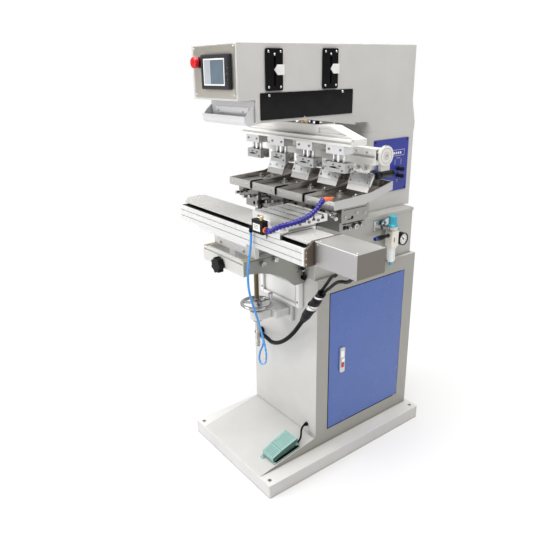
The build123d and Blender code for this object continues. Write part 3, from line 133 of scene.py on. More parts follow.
def object_noise(tree, scale, detail=3.0, stretch=(1, 1, 1), rough=0.55):
    # Noise in the row frame, stretched where a grain runs
    turn = wire(tree, "ShaderNodeMapping", {"Vector": object_place(tree), "Scale": stretch})
    return wire(tree, "ShaderNodeTexNoise", {
        "Vector": turn.outputs["Vector"], "Scale": scale, "Detail": detail,
        "Roughness": rough}).outputs["Fac"]


def colour_between(tree, source, low, high, start=0.3, end=0.7):
    # Colour that goes from one tone to another with a value
    ramp = wire(tree, "ShaderNodeValToRGB", {"Fac": source})
    for stop, place, tone in zip(ramp.color_ramp.elements, (start, end), (low, high)):
        stop.position = place
        stop.color = (*tone, 1)
    return ramp.outputs["Color"]


def shade(colour, factor):
    # The same colour, lighter or darker
    return tuple(min(1.0, c * factor) for c in colour)


def principled(m):
    # Principled shader of a material
    return next((n for n in m.node_tree.nodes if n.type == "BSDF_PRINCIPLED"), None)


def finish(name, tone_noise, tones, rough_noise, rough, edge, bump_noise=None, depth=0.0,
           **values):
    # Principled material: tones and roughness wander with noises, given by their settings,
    # over rounded edges, with a fine bump where there is one
    m = bpy.data.materials.new(name)
    tree = empty_tree(m)
    shader = tree.nodes.new("ShaderNodeBsdfPrincipled")
    wire(tree, "ShaderNodeOutputMaterial", {"Surface": shader.outputs["BSDF"]})
    made = {None: None}
    for noise in (tone_noise, rough_noise, bump_noise):
        if noise not in made:
            made[noise] = object_noise(tree, *noise)
    normal = wire(tree, "ShaderNodeBevel", {"Radius": edge}, samples=4).outputs["Normal"]
    if bump_noise:
        normal = wire(tree, "ShaderNodeBump", {
            "Strength": 0.5, "Distance": depth, "Height": made[bump_noise],
            "Normal": normal}).outputs["Normal"]
    inputs = {"Base Color": colour_between(tree, made[tone_noise], *tones),
              "Roughness": map_range(tree, made[rough_noise], (0.3, 0.7), rough),
              "Normal": normal, **values}
    for key, source in inputs.items():
        feed(tree, shader.inputs[key], source)
    return m


def tones_about(colour, spread):
    # Two tones of a colour, one darker and one lighter
    return shade(colour, 1 - spread), shade(colour, 1 + spread)


def paint(name, colour, rough=0.4, coat=0.15, edge=0.0012, spread=0.05):
    # Sprayed paint: orange peel, faint cloudiness and handling marks
    return finish(name, (5.0, 4.0), tones_about(colour, spread),
                  (22.0, 5.0), (rough - 0.06, rough + 0.06), edge, (900.0, 1.0), 0.00012,
                  **{"Coat Weight": coat, "Coat Roughness": 0.25})


def brushed(name, colour, stretch, rough=0.32, edge=0.0008, spread=0.05, depth=0.00003):
    # Brushed metal: fine grain along one axis
    grain = (90.0, 6.0, stretch)
    return finish(name, grain, tones_about(colour, spread),
                  grain, (rough - 0.08, rough + 0.1), edge, grain, depth,
                  Metallic=1.0, Anisotropic=0.4)


def polished(name, colour, rough=0.12, edge=0.0006):
    # Plated or polished metal with faint smears
    smear = (40.0, 5.0)
    return finish(name, smear, (shade(colour, 0.92), colour), smear, (rough, rough + 0.1), edge,
                  Metallic=1.0)


def plastic(name, colour, rough=0.45, edge=0.0007, grain=1400.0, depth=0.00008, spec=0.5):
    # Moulded plastic with a fine texture
    cloud = (30.0, 4.0)
    return finish(name, cloud, tones_about(colour, 0.06),
                  cloud, (rough - 0.05, rough + 0.07), edge, (grain, 2.0), depth,
                  **{"Specular IOR Level": spec})


def zone(tree, axis, low, high):
    # 1 where the place in the row frame, or the facing for NX, NY or NZ, lies between two limits
    where = tree.nodes.new("ShaderNodeTexCoord")
    source = where.outputs["Normal" if axis[0] == "N" else "Object"]
    value = wire(tree, "ShaderNodeSeparateXYZ", {"Vector": source}).outputs[axis[-1]]
    over = calculate(tree, "GREATER_THAN", value, low)
    under = calculate(tree, "LESS_THAN", value, high)
    return calculate(tree, "MULTIPLY", over, under)


def box_of_zones(tree, limits):
    # 1 where all zones of a list hold
    inside, *others = [zone(tree, *limit) for limit in limits]
    for here in others:
        inside = calculate(tree, "MULTIPLY", inside, here)
    return inside


# First value, second value and result among the sockets of a Mix node
colour_mix = ("RGBA", 6, 7, 2)
value_mix = ("FLOAT", 2, 3, 0)


def zoned(material, *places):
    # Copy of a material whose colour, metal and roughness change in boxes of the row frame
    m = material.copy()
    m.name = material.name + "_" + places[0][0]
    tree = m.node_tree
    shader = principled(m)
    for _, limits, colour, metal, rough in places:
        inside = box_of_zones(tree, limits)
        for socket, value, (kind, first, second, result) in (
                ("Base Color", (*colour, 1), colour_mix), ("Metallic", metal, value_mix),
                ("Roughness", rough, value_mix)):
            target = shader.inputs[socket]
            mix = wire(tree, "ShaderNodeMix", {0: inside, first: fed(target), second: value},
                       data_type=kind)
            tree.links.new(mix.outputs[result], target)
    return m


black = (0.005, 0.005, 0.006)
orange = (0.85, 0.16, 0.04)
tube_colour = (0.045, 0.30, 0.74)
housing_paint = paint("housing_paint", (0.575, 0.569, 0.553), 0.42, 0.1, 0.002)
base_paint = paint("base_paint", (0.61, 0.597, 0.588), 0.45, 0.1, 0.002)
frame_paint = paint("frame_paint", (0.56, 0.555, 0.53), 0.36, 0.1, 0.0012)
bright_frame = paint("bright_frame", (0.64, 0.64, 0.63), 0.3, 0.1, 0.0012)
door_paint = paint("door_paint", (0.045, 0.115, 0.42), 0.24, 0.45, 0.0015, spread=0.03)
plate_paint = paint("plate_paint", (0.022, 0.034, 0.30), 0.4, 0.1, 0.001)
white_paint = paint("white_paint", (0.80, 0.79, 0.76), 0.4, 0.1, 0.0008)
cover_paint = paint("cover_paint", (0.46, 0.455, 0.435), 0.35, 0.1, 0.0006)
latch_paint = paint("latch_paint", (0.72, 0.72, 0.72), 0.3, 0.2, 0.0008)
panel_steel = brushed("panel_steel", (0.70, 0.66, 0.59), (0.5, 1, 40), 0.36)
sheet_steel = brushed("sheet_steel", (0.88, 0.88, 0.89), (0.5, 40, 40), 0.32)
box_steel = brushed("box_steel", (0.66, 0.65, 0.66), (40, 40, 0.5), 0.4, 0.0016, 0.04)
tray_steel = brushed("tray_steel", (0.60, 0.59, 0.575), (40, 0.5, 40), 0.34,
                     spread=0.12, depth=0.00004)
bed_steel = brushed("bed_steel", (0.60, 0.60, 0.59), (0.5, 40, 40), 0.36, spread=0.08)
machined = brushed("machined", (0.80, 0.80, 0.79), (0.5, 40, 40), 0.34)
machined_z = brushed("machined_z", (0.76, 0.76, 0.76), (40, 40, 0.5), 0.32)
chrome = polished("chrome", (0.60, 0.60, 0.61), 0.08)
wheel_chrome = polished("wheel_chrome", (0.46, 0.46, 0.47), 0.06)
bright_screw = polished("bright_screw", (0.66, 0.66, 0.66), 0.2, 0.0004)
steel_dark = polished("steel_dark", (0.36, 0.35, 0.34), 0.28, 0.0004)
brass = polished("brass", (0.78, 0.58, 0.28), 0.2, 0.0004)
black_plastic = plastic("black_plastic", black, 0.36, spec=0.14)
black_metal = plastic("black_metal", (0.006, 0.006, 0.007), 0.34, spec=0.15)
red_plastic = plastic("red_plastic", (0.62, 0.012, 0.018), 0.22)
grey_plastic = plastic("grey_plastic", (0.42, 0.43, 0.43), 0.45)
cyan_plastic = plastic("cyan_plastic", (0.035, 0.42, 0.56), 0.3)
white_plastic = plastic("white_plastic", (0.80, 0.80, 0.78), 0.35)
cream_plastic = plastic("cream_plastic", (0.82, 0.79, 0.72), 0.35)
teal_plastic = plastic("teal_plastic", (0.33, 0.52, 0.49), 0.5, spec=0.3)
teal_dark = plastic("teal_dark", (0.16, 0.33, 0.30), 0.5, spec=0.3)
rubber = plastic("rubber", (0.003, 0.003, 0.0035), 0.42, spec=0.10)
tube_blue = plastic("tube_blue", tube_colour, 0.25)
hose_violet = plastic("hose_violet", (0.014, 0.011, 0.24), 0.24)
acrylic = plastic("acrylic", (0.004, 0.004, 0.005), 0.12, grain=300.0, depth=0.00001, spec=0.2)
screen_frame = plastic("screen_frame", (0.022, 0.023, 0.028), 0.4, spec=0.35)
display_glass = plastic("display_glass", (0.13, 0.17, 0.21), 0.16, grain=300.0, depth=0.00001)


def smooth_angles(o):
    # Smooth shading below 32 degrees, flat above
    for p in o.data.polygons:
        p.use_smooth = True
    o.data.set_sharp_from_angle(angle=math.radians(32))


def dress(names, material):
    # One material on CAD nodes
    for n in names:
        o = nodes[n]
        o.data.materials.clear()
        o.data.materials.append(material)


tray_names = ["ink_tray_1", "ink_tray_2", "ink_tray_3", "ink_tray_4"]
tray_middles = (-0.236, -0.076, 0.084, 0.244)
dress(["head_housing"], housing_paint)
# Painted shade: the +X sides of these housings are given a darker colour
dress(["mid_housing", "deck_plate", "upright_housing"], zoned(housing_paint, (
    "sides", (("X", 0.1385, 1.0),), (0.46, 0.455, 0.425), 0.1, 0.42)))
# Painted shade: the +X side of the cabinet is given a darker colour
dress(["cabinet_shell"], zoned(housing_paint, (
    "sides", (("X", 0.2055, 1.0),), (0.37, 0.36, 0.33), 0.1, 0.42)))
# Painted light and shade: the top of the plinth is painted lighter and its front darker
dress(["base_plinth"], zoned(base_paint,
    ("top", (("Z", 0.0575, 0.1),), (0.76, 0.75, 0.73), 0.1, 0.45),
    ("front", (("Y", -1.0, -0.4572),), (0.44, 0.435, 0.43), 0.1, 0.4)))
# Painted light: the whole guide is painted paler than the frame paint, standing in for light where
# the rail shades it
dress(["vertical_guide"], zoned(bright_frame, (
    "face", (("Z", 0.0, 2.0),), (0.88, 0.88, 0.87), 0.1, 0.3)))
dress(["screw_bracket", "table_bracket"], bright_frame)
# Painted shade: the +X face of the arm is given a dark colour
dress(["lift_bracket"], zoned(frame_paint,
    ("arm", (("X", 0.1335, 0.1342),), (0.30, 0.30, 0.275), 0.1, 0.36),
    ("clamps", (("X", 0.1342, 1.0),), (0.50, 0.50, 0.51), 1.0, 0.12)))
dress(["door"], door_paint)
dress(["latch_body"], latch_paint)
dress(["control_plate"], zoned(plate_paint, (
    "fittings", (("X", 0.1393, 1.0),), black, 0.0, 0.4)))
dress(["front_panel"], panel_steel)
dress(["tool_tray"], zoned(sheet_steel, (
    "sheet", (("Z", 0.0, 2.0),), (0.70, 0.70, 0.71), 0.35, 0.34)))
dress(["pad_beam"], zoned(white_paint, (
    "rods", (("Z", 1.3585, 2.0),), (0.84, 0.84, 0.85), 1.0, 0.15)))
dress(["pad_holders"], zoned(machined_z, (
    "feet", (("Z", 1.0, 1.2402),), (0.50, 0.50, 0.49), 1.0, 0.34)))
# Painted shade: the underside of the cover is painted black
dress(["rail_cover"], zoned(cover_paint, (
    "under", (("Z", 1.0, 1.0542),), black, 0.0, 0.5)))
# Painted shade: the rail's top behind its front edge is painted black, and its right end dark brown
dress(["shuttle_rail"], zoned(bright_frame,
    ("top", (("Z", 1.0428, 1.2), ("Y", -0.4125, 0.0), ("X", -1.0, 0.4425)), black, 0.0, 0.5),
    ("end", (("X", 0.4502, 1.0),), (0.16, 0.125, 0.10), 0.7, 0.3)))
dress(["shuttle_table"], machined)
# Painted shade: the front face, the lower part and the right end of the bed are painted darker than
# the bed steel
dress(["tray_bed"], zoned(bed_steel,
    ("front", (("Y", -0.2, -0.1352), ("Z", 1.043, 1.0945)), (0.30, 0.295, 0.28), 1.0, 0.34),
    ("low", (("Z", 0.9, 1.0422),), (0.36, 0.355, 0.34), 1.0, 0.34),
    ("end", (("X", 0.3145, 1.0),), (0.34, 0.335, 0.32), 0.8, 0.34)))
dress(["pad_carriage"], machined_z)
dress(["blade_holders"], zoned(machined_z, (
    "blades", (("Z", 1.0, 1.1505),), (0.50, 0.49, 0.47), 0.8, 0.28)))
dress(["blade_bar"], zoned(white_paint,
    ("cylinder", (("X", 0.2995, 1.0), ("Y", 0.0293, 1.0), ("Z", 1.0, 1.2002)), black, 0.0, 0.4),
    ("rods", (("Z", 1.2822, 2.0),), (0.84, 0.84, 0.85), 1.0, 0.15)))
dress(["valve_block"], zoned(black_plastic,
    ("needle", (("Z", 1.0942, 1.2),), (0.78, 0.58, 0.28), 1.0, 0.25),
    ("seat", (("X", 0.2762, 1.0),), orange, 0.0, 0.35),
    ("tab", (("Y", -0.4242, -0.3), ("Z", 1.0, 1.0498)), (0.72, 0.72, 0.71), 0.8, 0.35)))
dress(["tray_screws"], zoned(chrome,
    ("blocks", (("Z", 1.0735, 1.2), ("Y", -0.1515, 0.0)), black, 0.0, 0.4),
    ("stop", (("X", -0.1315, -0.1085), ("Z", 1.0, 1.0605)), black, 0.0, 0.4)))
dress(["handwheel"], wheel_chrome)
dress(["latch_lever"], sheet_steel)
dress(["printing_plates"], zoned(polished("plate_steel", (0.60, 0.58, 0.55), 0.26),
    ("clamps", (("Z", 1.1122, 1.2),), (0.72, 0.70, 0.66), 1.0, 0.3)))


def inked(material):
    # Ink stains: dark streaks along Y over the metal, and the metal darker towards the rear
    m = material.copy()
    m.name = material.name + "_inked"
    tree = m.node_tree
    streaks = object_noise(tree, 1.0, 6.0, (46, 9, 30), 0.62)
    split = wire(tree, "ShaderNodeSeparateXYZ", {"Vector": object_place(tree)})
    rear = map_range(tree, split.outputs["Y"], (-0.175, 0.0), (-0.26, 0.16))
    stain = calculate(tree, "ADD", streaks, rear)
    colour = colour_between(tree, stain, (0.62, 0.60, 0.56), (0.15, 0.13, 0.11), 0.40, 0.62)
    tree.links.new(colour, principled(m).inputs["Base Color"])
    return m


# Ink lies inside the trays only, and dulls the metal there
inked_steel = inked(tray_steel)
clean_steel = (0.58, 0.57, 0.555, 1)
tray_inner_half, tray_inner_front, tray_inner_rear = 0.0722, -0.1733, 0.1083
for tray, middle in zip(tray_names, tray_middles):
    m = inked_steel.copy()
    tree = m.node_tree
    shader = principled(m)
    within = box_of_zones(tree, (("X", middle - tray_inner_half, middle + tray_inner_half),
                                 ("Y", tray_inner_front, tray_inner_rear)))
    choose = wire(tree, "ShaderNodeMix", {
        0: within, 6: clean_steel, 7: fed(shader.inputs["Base Color"])}, data_type="RGBA")
    tree.links.new(choose.outputs[2], shader.inputs["Base Color"])
    tree.links.new(map_range(tree, within, (0, 1), (1.0, 0.35)), shader.inputs["Metallic"])
    dress([tray], m)
dress(["estop_button", "latch_button"], red_plastic)
dress(["estop_base", "stroke_scales", "pressure_gauge", "star_knob", "lock_lever"], black_plastic)
dress(["front_glands"], zoned(black_plastic, (
    "tube", (("Z", 0.3, 0.4533),), tube_colour, 0.0, 0.3)))
dress(["plug_connector"], zoned(black_plastic,
    ("band", (("Z", 0.7315, 0.7515),), (0.80, 0.80, 0.80), 0.8, 0.25),
    ("nut", (("Z", 0.7905, 0.7985),), (0.80, 0.80, 0.80), 0.8, 0.25)))
dress(["side_window"], acrylic)
dress(["touch_screen"], screen_frame)
dress(["pointer_front", "pointer_rear"], white_plastic)
dress(["frl_body"], zoned(cream_plastic,
    ("bowl", (("Z", 0.7985, 0.8652),), (0.86, 0.88, 0.88), 0.0, 0.12),
    ("drain", (("Z", 0.7, 0.7985),), (0.035, 0.42, 0.56), 0.0, 0.3),
    ("inlet", (("Y", 0.0, 0.2208),), black, 0.0, 0.4),
    ("collar", (("Y", 0.0, 0.1508),), (0.03, 0.08, 0.42), 0.0, 0.35)))
dress(["regulator_knob"], cyan_plastic)
dress(["frl_bracket"], bright_screw)
# Painted shade and light: the +X side of the box is painted dark, and its top and front get their
# own tones for how light falls on them
dress(["motor_box"], zoned(box_steel,
    ("side", (("X", 0.6315, 1.0), ("Z", 0.986, 1.061)), (0.20, 0.185, 0.16), 0.6, 0.36),
    ("top", (("Z", 1.0622, 1.2),), (0.40, 0.40, 0.385), 0.4, 0.36),
    ("front", (("Y", -1.0, -0.3842), ("Z", 0.986, 1.061)), (0.44, 0.43, 0.43), 0.9, 0.36),
    ("glands", (("Z", 0.9, 0.9858),), black, 0.0, 0.45)))
dress(["electrics_plate"], zoned(grey_plastic,
    ("sheet", (("X", -0.21, -0.1945),), (0.62, 0.62, 0.60), 0.0, 0.4),
    ("breakers", (("Z", 0.517, 0.603), ("Y", -0.026, 0.136)), (0.74, 0.74, 0.72), 0.0, 0.4),
    ("drives", (("Z", 0.349, 0.451), ("Y", -0.026, 0.192)), (0.03, 0.03, 0.033), 0.0, 0.4),
    ("contactors", (("Z", 0.519, 0.601), ("Y", 0.154, 0.292)), (0.10, 0.10, 0.11), 0.0, 0.4),
    ("supply", (("Z", 0.18, 0.276), ("Y", -0.011, 0.111)), (0.55, 0.56, 0.58), 0.9, 0.35)))
dress(["pedal_base"], teal_plastic)
# Painted shade: the sides of the tread facing +X are painted dark
dress(["pedal_tread"], zoned(teal_plastic, (
    "side", (("NX", 0.6, 2.0),), (0.055, 0.125, 0.105), 0.0, 0.5)))
dress(["blower_hose"], zoned(hose_violet, (
    "nozzle", (("Y", -0.2545, 0.0),), orange, 0.0, 0.35)))


def threaded(name, colour, pitch, rough):
    # Turned steel with a thread along Z
    m = polished(name, colour, rough)
    tree = m.node_tree
    rings = wire(tree, "ShaderNodeTexWave", {
        "Vector": object_place(tree), "Scale": 0.314 / pitch, "Distortion": 0.0},
        wave_type="BANDS", bands_direction="Z")
    bump = wire(tree, "ShaderNodeBump", {
        "Height": rings.outputs["Fac"], "Distance": pitch * 0.4, "Strength": 0.9})
    tree.links.new(bump.outputs["Normal"], principled(m).inputs["Normal"])
    return m


# The thread's upper part is greased brown
screw_pitch = 0.005
dress(["lead_screw"], zoned(threaded("thread_steel", (0.58, 0.56, 0.52), screw_pitch, 0.22), (
    "grease", (("Z", 0.70, 0.83),), (0.20, 0.155, 0.09), 0.8, 0.3)))


# Cords
def cord_curve(name, points, width, material):
    # Smooth round cord on a NURBS spline
    data = bpy.data.curves.new(name, "CURVE")
    data.dimensions = "3D"
    data.bevel_depth = width / 2
    data.bevel_resolution = 5
    data.resolution_u = 12
    data.use_fill_caps = True
    spline = data.splines.new("NURBS")
    spline.points.add(len(points) - 1)
    for place, p in zip(spline.points, points):
        place.co = (*p, 1)
    spline.order_u = 3
    spline.use_endpoint_u = True
    data.materials.append(material)
    return new_object(name, data)


def spline_points(o):
    # Points along the curve's own line
    bare = o.data.copy()
    bare.bevel_depth = 0
    holder = bpy.data.objects.new("measure", bare)
    mesh = bpy.data.meshes.new_from_object(holder)
    points = [v.co.copy() for v in mesh.vertices]
    bpy.data.objects.remove(holder)
    bpy.data.meshes.remove(mesh)
    return points


def line_length(points):
    # Length of a line through points
    return sum((b - a).length for a, b in zip(points, points[1:]))


def cord_tube(name, points, width, material):
    # The same cord as a mesh, with its line
    curve = cord_curve(name + "_line", points, width, material)
    line = spline_points(curve)
    mesh = bpy.data.meshes.new_from_object(curve)
    o = new_object(name, mesh)
    bpy.data.objects.remove(curve)
    for p in mesh.polygons:
        p.use_smooth = True
    return o, line


plug_low = Vector((0.205, -0.212, 0.662))
plug_high = Vector((0.330, -0.234, 0.816))
plug_dir = (plug_high - plug_low).normalized()
plug_side = plug_dir.cross(Vector((0, 0, 1))).normalized()
plug_up = plug_side.cross(plug_dir)
gland_a = Vector((0.516, -0.344, 0.972))
gland_b = Vector((0.588, -0.356, 0.976))
gland_dir = Vector((0.62, -0.36, 0.70)).normalized()
start_a = plug_high + plug_up * 0.0065
start_b = plug_high - plug_up * 0.0065

conduit_route = [plug_low, plug_low - plug_dir * 0.036] + mm(
    (152, -207, 594), (112, -204, 551), (66, -201, 513), (20, -196, 486), (-26, -188, 470),
    (-62, -176, 466), (-98, -170, 466), (-134, -170, 466))
cable_a_route = [start_a, start_a + plug_dir * 0.026] + mm(
    (370, -247, 869), (405, -268, 899), (446, -296, 928)) + [gland_a - gland_dir * 0.032, gland_a]
cable_b_route = [start_b, start_b + plug_dir * 0.026] + mm(
    (388, -252, 858), (436, -278, 894), (492, -310, 927)) + [gland_b - gland_dir * 0.034, gland_b]
tube_route = mm(
    (197, -432, 1047), (197, -432, 1014), (192, -434, 975), (186, -437, 935), (179, -438, 885),
    (176, -434, 832), (175, -421, 780), (168, -396, 715), (148, -364, 642), (114, -325, 563),
    (74, -288, 490), (28, -257, 420), (-16, -240, 386), (-50, -228, 371), (-78, -216, 380),
    (-86, -204, 404), (-84, -190, 428), (-100, -174, 442), (-118, -165, 444), (-136, -165, 444))
pedal_cord_route = mm((182, -223.72, 104.26), (182, -199.66, 108.35), (152, -174.4, 146),
                      (152, -150, 146))

conduit = cord_curve("conduit_cord", conduit_route, conduit_width, rubber)
pedal_cord = cord_curve("pedal_cord_curve", pedal_cord_route, pedal_cord_width, rubber)
cable_a, cable_a_line = cord_tube("motor_cord_a", cable_a_route, cable_width, rubber)
cable_b, cable_b_line = cord_tube("motor_cord_b", cable_b_route, cable_width, rubber)
air_tube, air_tube_line = cord_tube("air_tube_cord", tube_route, tube_width, tube_blue)
for piece, node in ((conduit, "conduit"), (cable_a, "motor_cable_a"), (cable_b, "motor_cable_b"),
                    (air_tube, "air_tube"), (pedal_cord, "pedal_cord")):
    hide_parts(node)
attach(conduit, "frame")
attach(pedal_cord, "frame")
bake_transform(cable_a)
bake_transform(cable_b)
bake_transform(air_tube)
line_length(spline_points(conduit))
line_length(spline_points(pedal_cord))


kits = []


class Kit:
    # Small parts of one finish on one body, gathered in one piece; millimetres
    def __init__(self, name, material, slot, body="frame"):
        self.name, self.material, self.slot, self.body = name, material, slot, body
        self.bm = bmesh.new()
        kits.append(self)

    def turned(self, at, way, profile, sides=20, knurl=0.0):
        # Round part: (distance along, radius) pairs from a point in a direction
        way = Vector(way).normalized()
        across = way.orthogonal().normalized()
        other = way.cross(across)
        rings = []
        for along, radius in profile:
            middle = Vector(at) + way * along
            if radius == 0:
                rings.append([self.bm.verts.new(middle)])
                continue
            ring = []
            for i in range(sides):
                a = 2 * math.pi * i / sides
                r = radius * (1 - knurl * (i % 2))
                spot = middle + across * r * math.cos(a) + other * r * math.sin(a)
                ring.append(self.bm.verts.new(spot))
            rings.append(ring)
        for low, high in zip(rings, rings[1:]):
            for i in range(sides):
                j = (i + 1) % sides
                if len(low) == 1:
                    self.bm.faces.new((low[0], high[j], high[i]))
                elif len(high) == 1:
                    self.bm.faces.new((low[i], low[j], high[0]))
                else:
                    self.bm.faces.new((low[i], low[j], high[j], high[i]))

    def bar(self, x0, x1, y0, y1, z0, z1, edge=0.0, turn=None):
        # Bar between two corners, with rounded edges; turn is a rotation about its middle
        middle = Vector(((x0 + x1) / 2, (y0 + y1) / 2, (z0 + z1) / 2))
        size = Matrix.Diagonal((x1 - x0, y1 - y0, z1 - z0, 1))
        place = Matrix.Translation(middle) @ (turn or Matrix.Identity(4)) @ size
        made = bmesh.ops.create_cube(self.bm, size=1.0, matrix=place)
        if edge:
            lines = dict.fromkeys(e for v in made["verts"] for e in v.link_edges)
            bmesh.ops.bevel(self.bm, geom=list(lines), offset=edge, segments=2, affect="EDGES")

    def outline(self, points, lift):
        # Flat outline of points, thickened by a vector
        low = [self.bm.verts.new(Vector(q)) for q in points]
        high = [self.bm.verts.new(Vector(q) + Vector(lift)) for q in points]
        self.bm.faces.new(low)
        self.bm.faces.new(high[::-1])
        for i in range(len(points)):
            j = (i + 1) % len(points)
            self.bm.faces.new((low[j], low[i], high[i], high[j]))

    def cap_screws(self, way, radius, height, *places):
        # Socket head screws
        for at in places:
            self.turned(at, way, ((0, 0), (0, radius), (height * 0.8, radius),
                                  (height, radius * 0.85), (height, radius * 0.5),
                                  (height * 0.35, radius * 0.46), (height * 0.35, 0)))

    def dome_screws(self, way, radius, height, *places):
        # Button head screws with a small recess
        for at in places:
            self.turned(at, way, ((0, 0), (0, radius), (height * 0.35, radius * 0.94),
                                  (height * 0.75, radius * 0.68), (height, radius * 0.34),
                                  (height * 0.6, radius * 0.26), (height * 0.6, 0)))

    def done(self):
        # The piece itself, riding on its body
        bmesh.ops.recalc_face_normals(self.bm, faces=self.bm.faces)
        bmesh.ops.scale(self.bm, vec=(0.001, 0.001, 0.001), verts=self.bm.verts)
        mesh = bpy.data.meshes.new(self.name)
        self.bm.to_mesh(mesh)
        self.bm.free()
        mesh.materials.append(self.material)
        o = new_object(self.name, mesh)
        smooth_angles(o)
        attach(o, self.body)


def bars(name, material, slot, rows, body="frame"):
    # Piece of bars alone
    kit = Kit(name, material, slot, body)
    for row in rows:
        kit.bar(*row)


def rounds(name, material, slot, rows, body="frame"):
    # Piece of round parts alone
    kit = Kit(name, material, slot, body)
    for row in rows:
        kit.turned(*row)


station_x = [1000 * x for x in tray_middles]
rightward, forward, backward = (1, 0, 0), (0, -1, 0), (0, 1, 0)
upward, downward = (0, 0, 1), (0, 0, -1)

# Head: screws of the front panel, the stroke plates, the window and the tool tray
screws = Kit("head_screws", bright_screw, "chrome")
screws.dome_screws(forward, 3.6, 2.2, (-113, -428, 1613), (122, -428, 1613),
                   (122, -428, 1467), (-112, -428, 1467))
for y0, y1, z0, z1 in ((-317, -249, 1479, 1608), (-72, -3, 1478, 1609)):
    screws.dome_screws(rightward, 4.2, 2.8, (143, y0 + 10, z1 - 10), (143, y1 - 9, z1 - 10),
                       (143, y0 + 10, z0 + 11), (143, y1 - 9, z0 + 11),
                       (143, (y0 + y1) / 2, z1 - 18))
screws.dome_screws(rightward, 5.2, 3.2, (138.5, -303, 1465), (138.5, 26, 1466))
screws.dome_screws(forward, 3.6, 2.2, (-84, -359.2, 1413), (67, -359.2, 1413))
bars("tray_inlay", sheet_steel, "white_parts",
     [(-104, 99, -359.2, -358.1, 1400, 1428, 0.4)])

# Screen: rim, lit display with its lighter strip, keys on the right of the bezel
bars("screen_rim", white_plastic, "white_plastic", [
    (x0, x1, -441.2, -439.6, z0, z1, 0.3) for x0, x1, z0, z1 in (
        (-36, 90, 1576, 1581), (-36, 90, 1498, 1503), (-36, -31, 1503, 1576),
        (85, 90, 1503, 1576))])
bars("screen_display", display_glass, "screen",
     [(6, 85, -440.6, -439.6, 1503, 1576, 0.2)])
display_pale = plastic("display_pale", (0.42, 0.45, 0.48), 0.18, grain=300.0, depth=0.00001)
bars("screen_side", display_pale, "screen", [(-31, 6, -440.7, -439.6, 1503, 1576, 0.2)])
rounds("screen_keys", black_plastic, "black_plastic", [
    ((101, -442, z), forward, ((0, 0), (0, 2.6), (0.9, 2.3), (0.9, 0)), 14)
    for z in (1552, 1543, 1534, 1525, 1516)])
bars("screen_marks", white_plastic, "white_plastic", [
    (105.5, 108.5, -442.4, -441.9, z - 0.5, z + 0.5) for z in (1552, 1534, 1516)])

# Three arrows that turn with the emergency stop
arrows = Kit("stop_arrows", white_plastic, "white_plastic", "estop_button")
stop_x, stop_z, arrow_radius = -77, 1570, 9.5
for i in range(3):
    for k in range(5):
        a = math.radians(90 + 120 * i) + 0.12 * k
        x, z = stop_x + arrow_radius * math.cos(a), stop_z + arrow_radius * math.sin(a)
        arrows.bar(x - 1, x + 1, -457.95, -457.6, z - 1, z + 1)

# Blue plate: corner screws, collars of the fittings, drawn frame and marks
plate_face = 139
plate_screws = Kit("plate_screws", black_metal, "black_plastic")
plate_screws.dome_screws(rightward, 3.6, 2.4, *(
    (plate_face, y, z) for y in (211, 399) for z in (1072, 1268)))
for z in (1154, 1126):
    plate_screws.turned((165, 349, z), rightward, (
        (0, 9.2), (2, 9.2), (2.6, 8.6), (2.6, 4.5), (-1, 4.5), (-1, 0)), 24)
bars("plate_marks", white_plastic, "white_plastic", [
    (plate_face, plate_face + 0.25, *row) for row in (
    (300, 384, 1229, 1230.2), (300, 384, 1206, 1207.2), (300, 301.2, 1206, 1230),
    (383, 384, 1206, 1230), (318, 326, 1213, 1222), (331, 339, 1213, 1222),
    (344, 352, 1213, 1222), (357, 365, 1213, 1222),
    (330, 331.4, 1170, 1192), (366, 367.4, 1170, 1192), (338, 360, 1196, 1197.2),
    (348, 349.4, 1098, 1110), (343, 354, 1108, 1109.2))])

# Fittings between the beam and the head
rounds("fittings_brass", brass, "brass_mix", [
    ((x, -76, 1358), upward, ((0, 0), (0, 8), (7, 8), (7, 6), (15, 6), (16, 0)), 6)
    for x in (-66, -24, 40, 62)], "pads")
rounds("fittings_black", black_metal, "black_plastic", [
    ((x, -76, 1372), upward, ((0, 0), (0, 6.6), (8, 6.6), (9, 5), (9, 0)), 16)
    for x in (-66, -24, 40, 62, 118)] + [
    ((118, -76, 1358), upward, ((0, 0), (0, 7.5), (12, 7.5), (14, 6)), 16)], "pads")
rounds("fittings_blue", hose_violet, "tube_blue", [
    ((x, -72, 1358), upward, ((0, 0), (0, 5), (9, 5), (10, 4), (20, 4), (20, 0)), 16)
    for x in (-45, 84)], "pads")

# Pad holders: clamp screws, slots and stop collars
hold = Kit("holder_screws", steel_dark, "chrome", "pads")
rods = Kit("holder_rods", chrome, "chrome", "pads")
dark = Kit("holder_slots", black_metal, "black_plastic", "pads")
for sx in station_x:
    hold.cap_screws(forward, 4.2, 2.6, (sx - 28, -108, 1284), (sx + 28, -108, 1284))
    hold.cap_screws(forward, 3.6, 2.4, (sx - 12, -102, 1231), (sx + 32, -102, 1214))
    hold.turned((sx + 45, -70, 1220), rightward, (
        (0, 0), (0, 6.5), (5, 6.5), (6, 5), (6, 2.5), (3, 2.2), (3, 0)), 18)
    rods.turned((sx, -84, 1240.3), upward, ((0, 9.4), (27.4, 9.4)), 28)
    for x in (sx - 26, sx + 26):
        rods.turned((x, -84, 1240.3), upward, ((0, 5.3), (27.4, 5.3)), 18)
        rods.turned((x, -84, 1240.3), upward, ((0, 8), (4, 8), (5, 7), (5, 5.3)), 18)
    dark.bar(sx - 30, sx - 2, -102.4, -101.8, 1219.4, 1223.2, 0.3)
    dark.bar(sx + 14, sx + 26, -102.4, -101.8, 1227, 1231, 0.3)

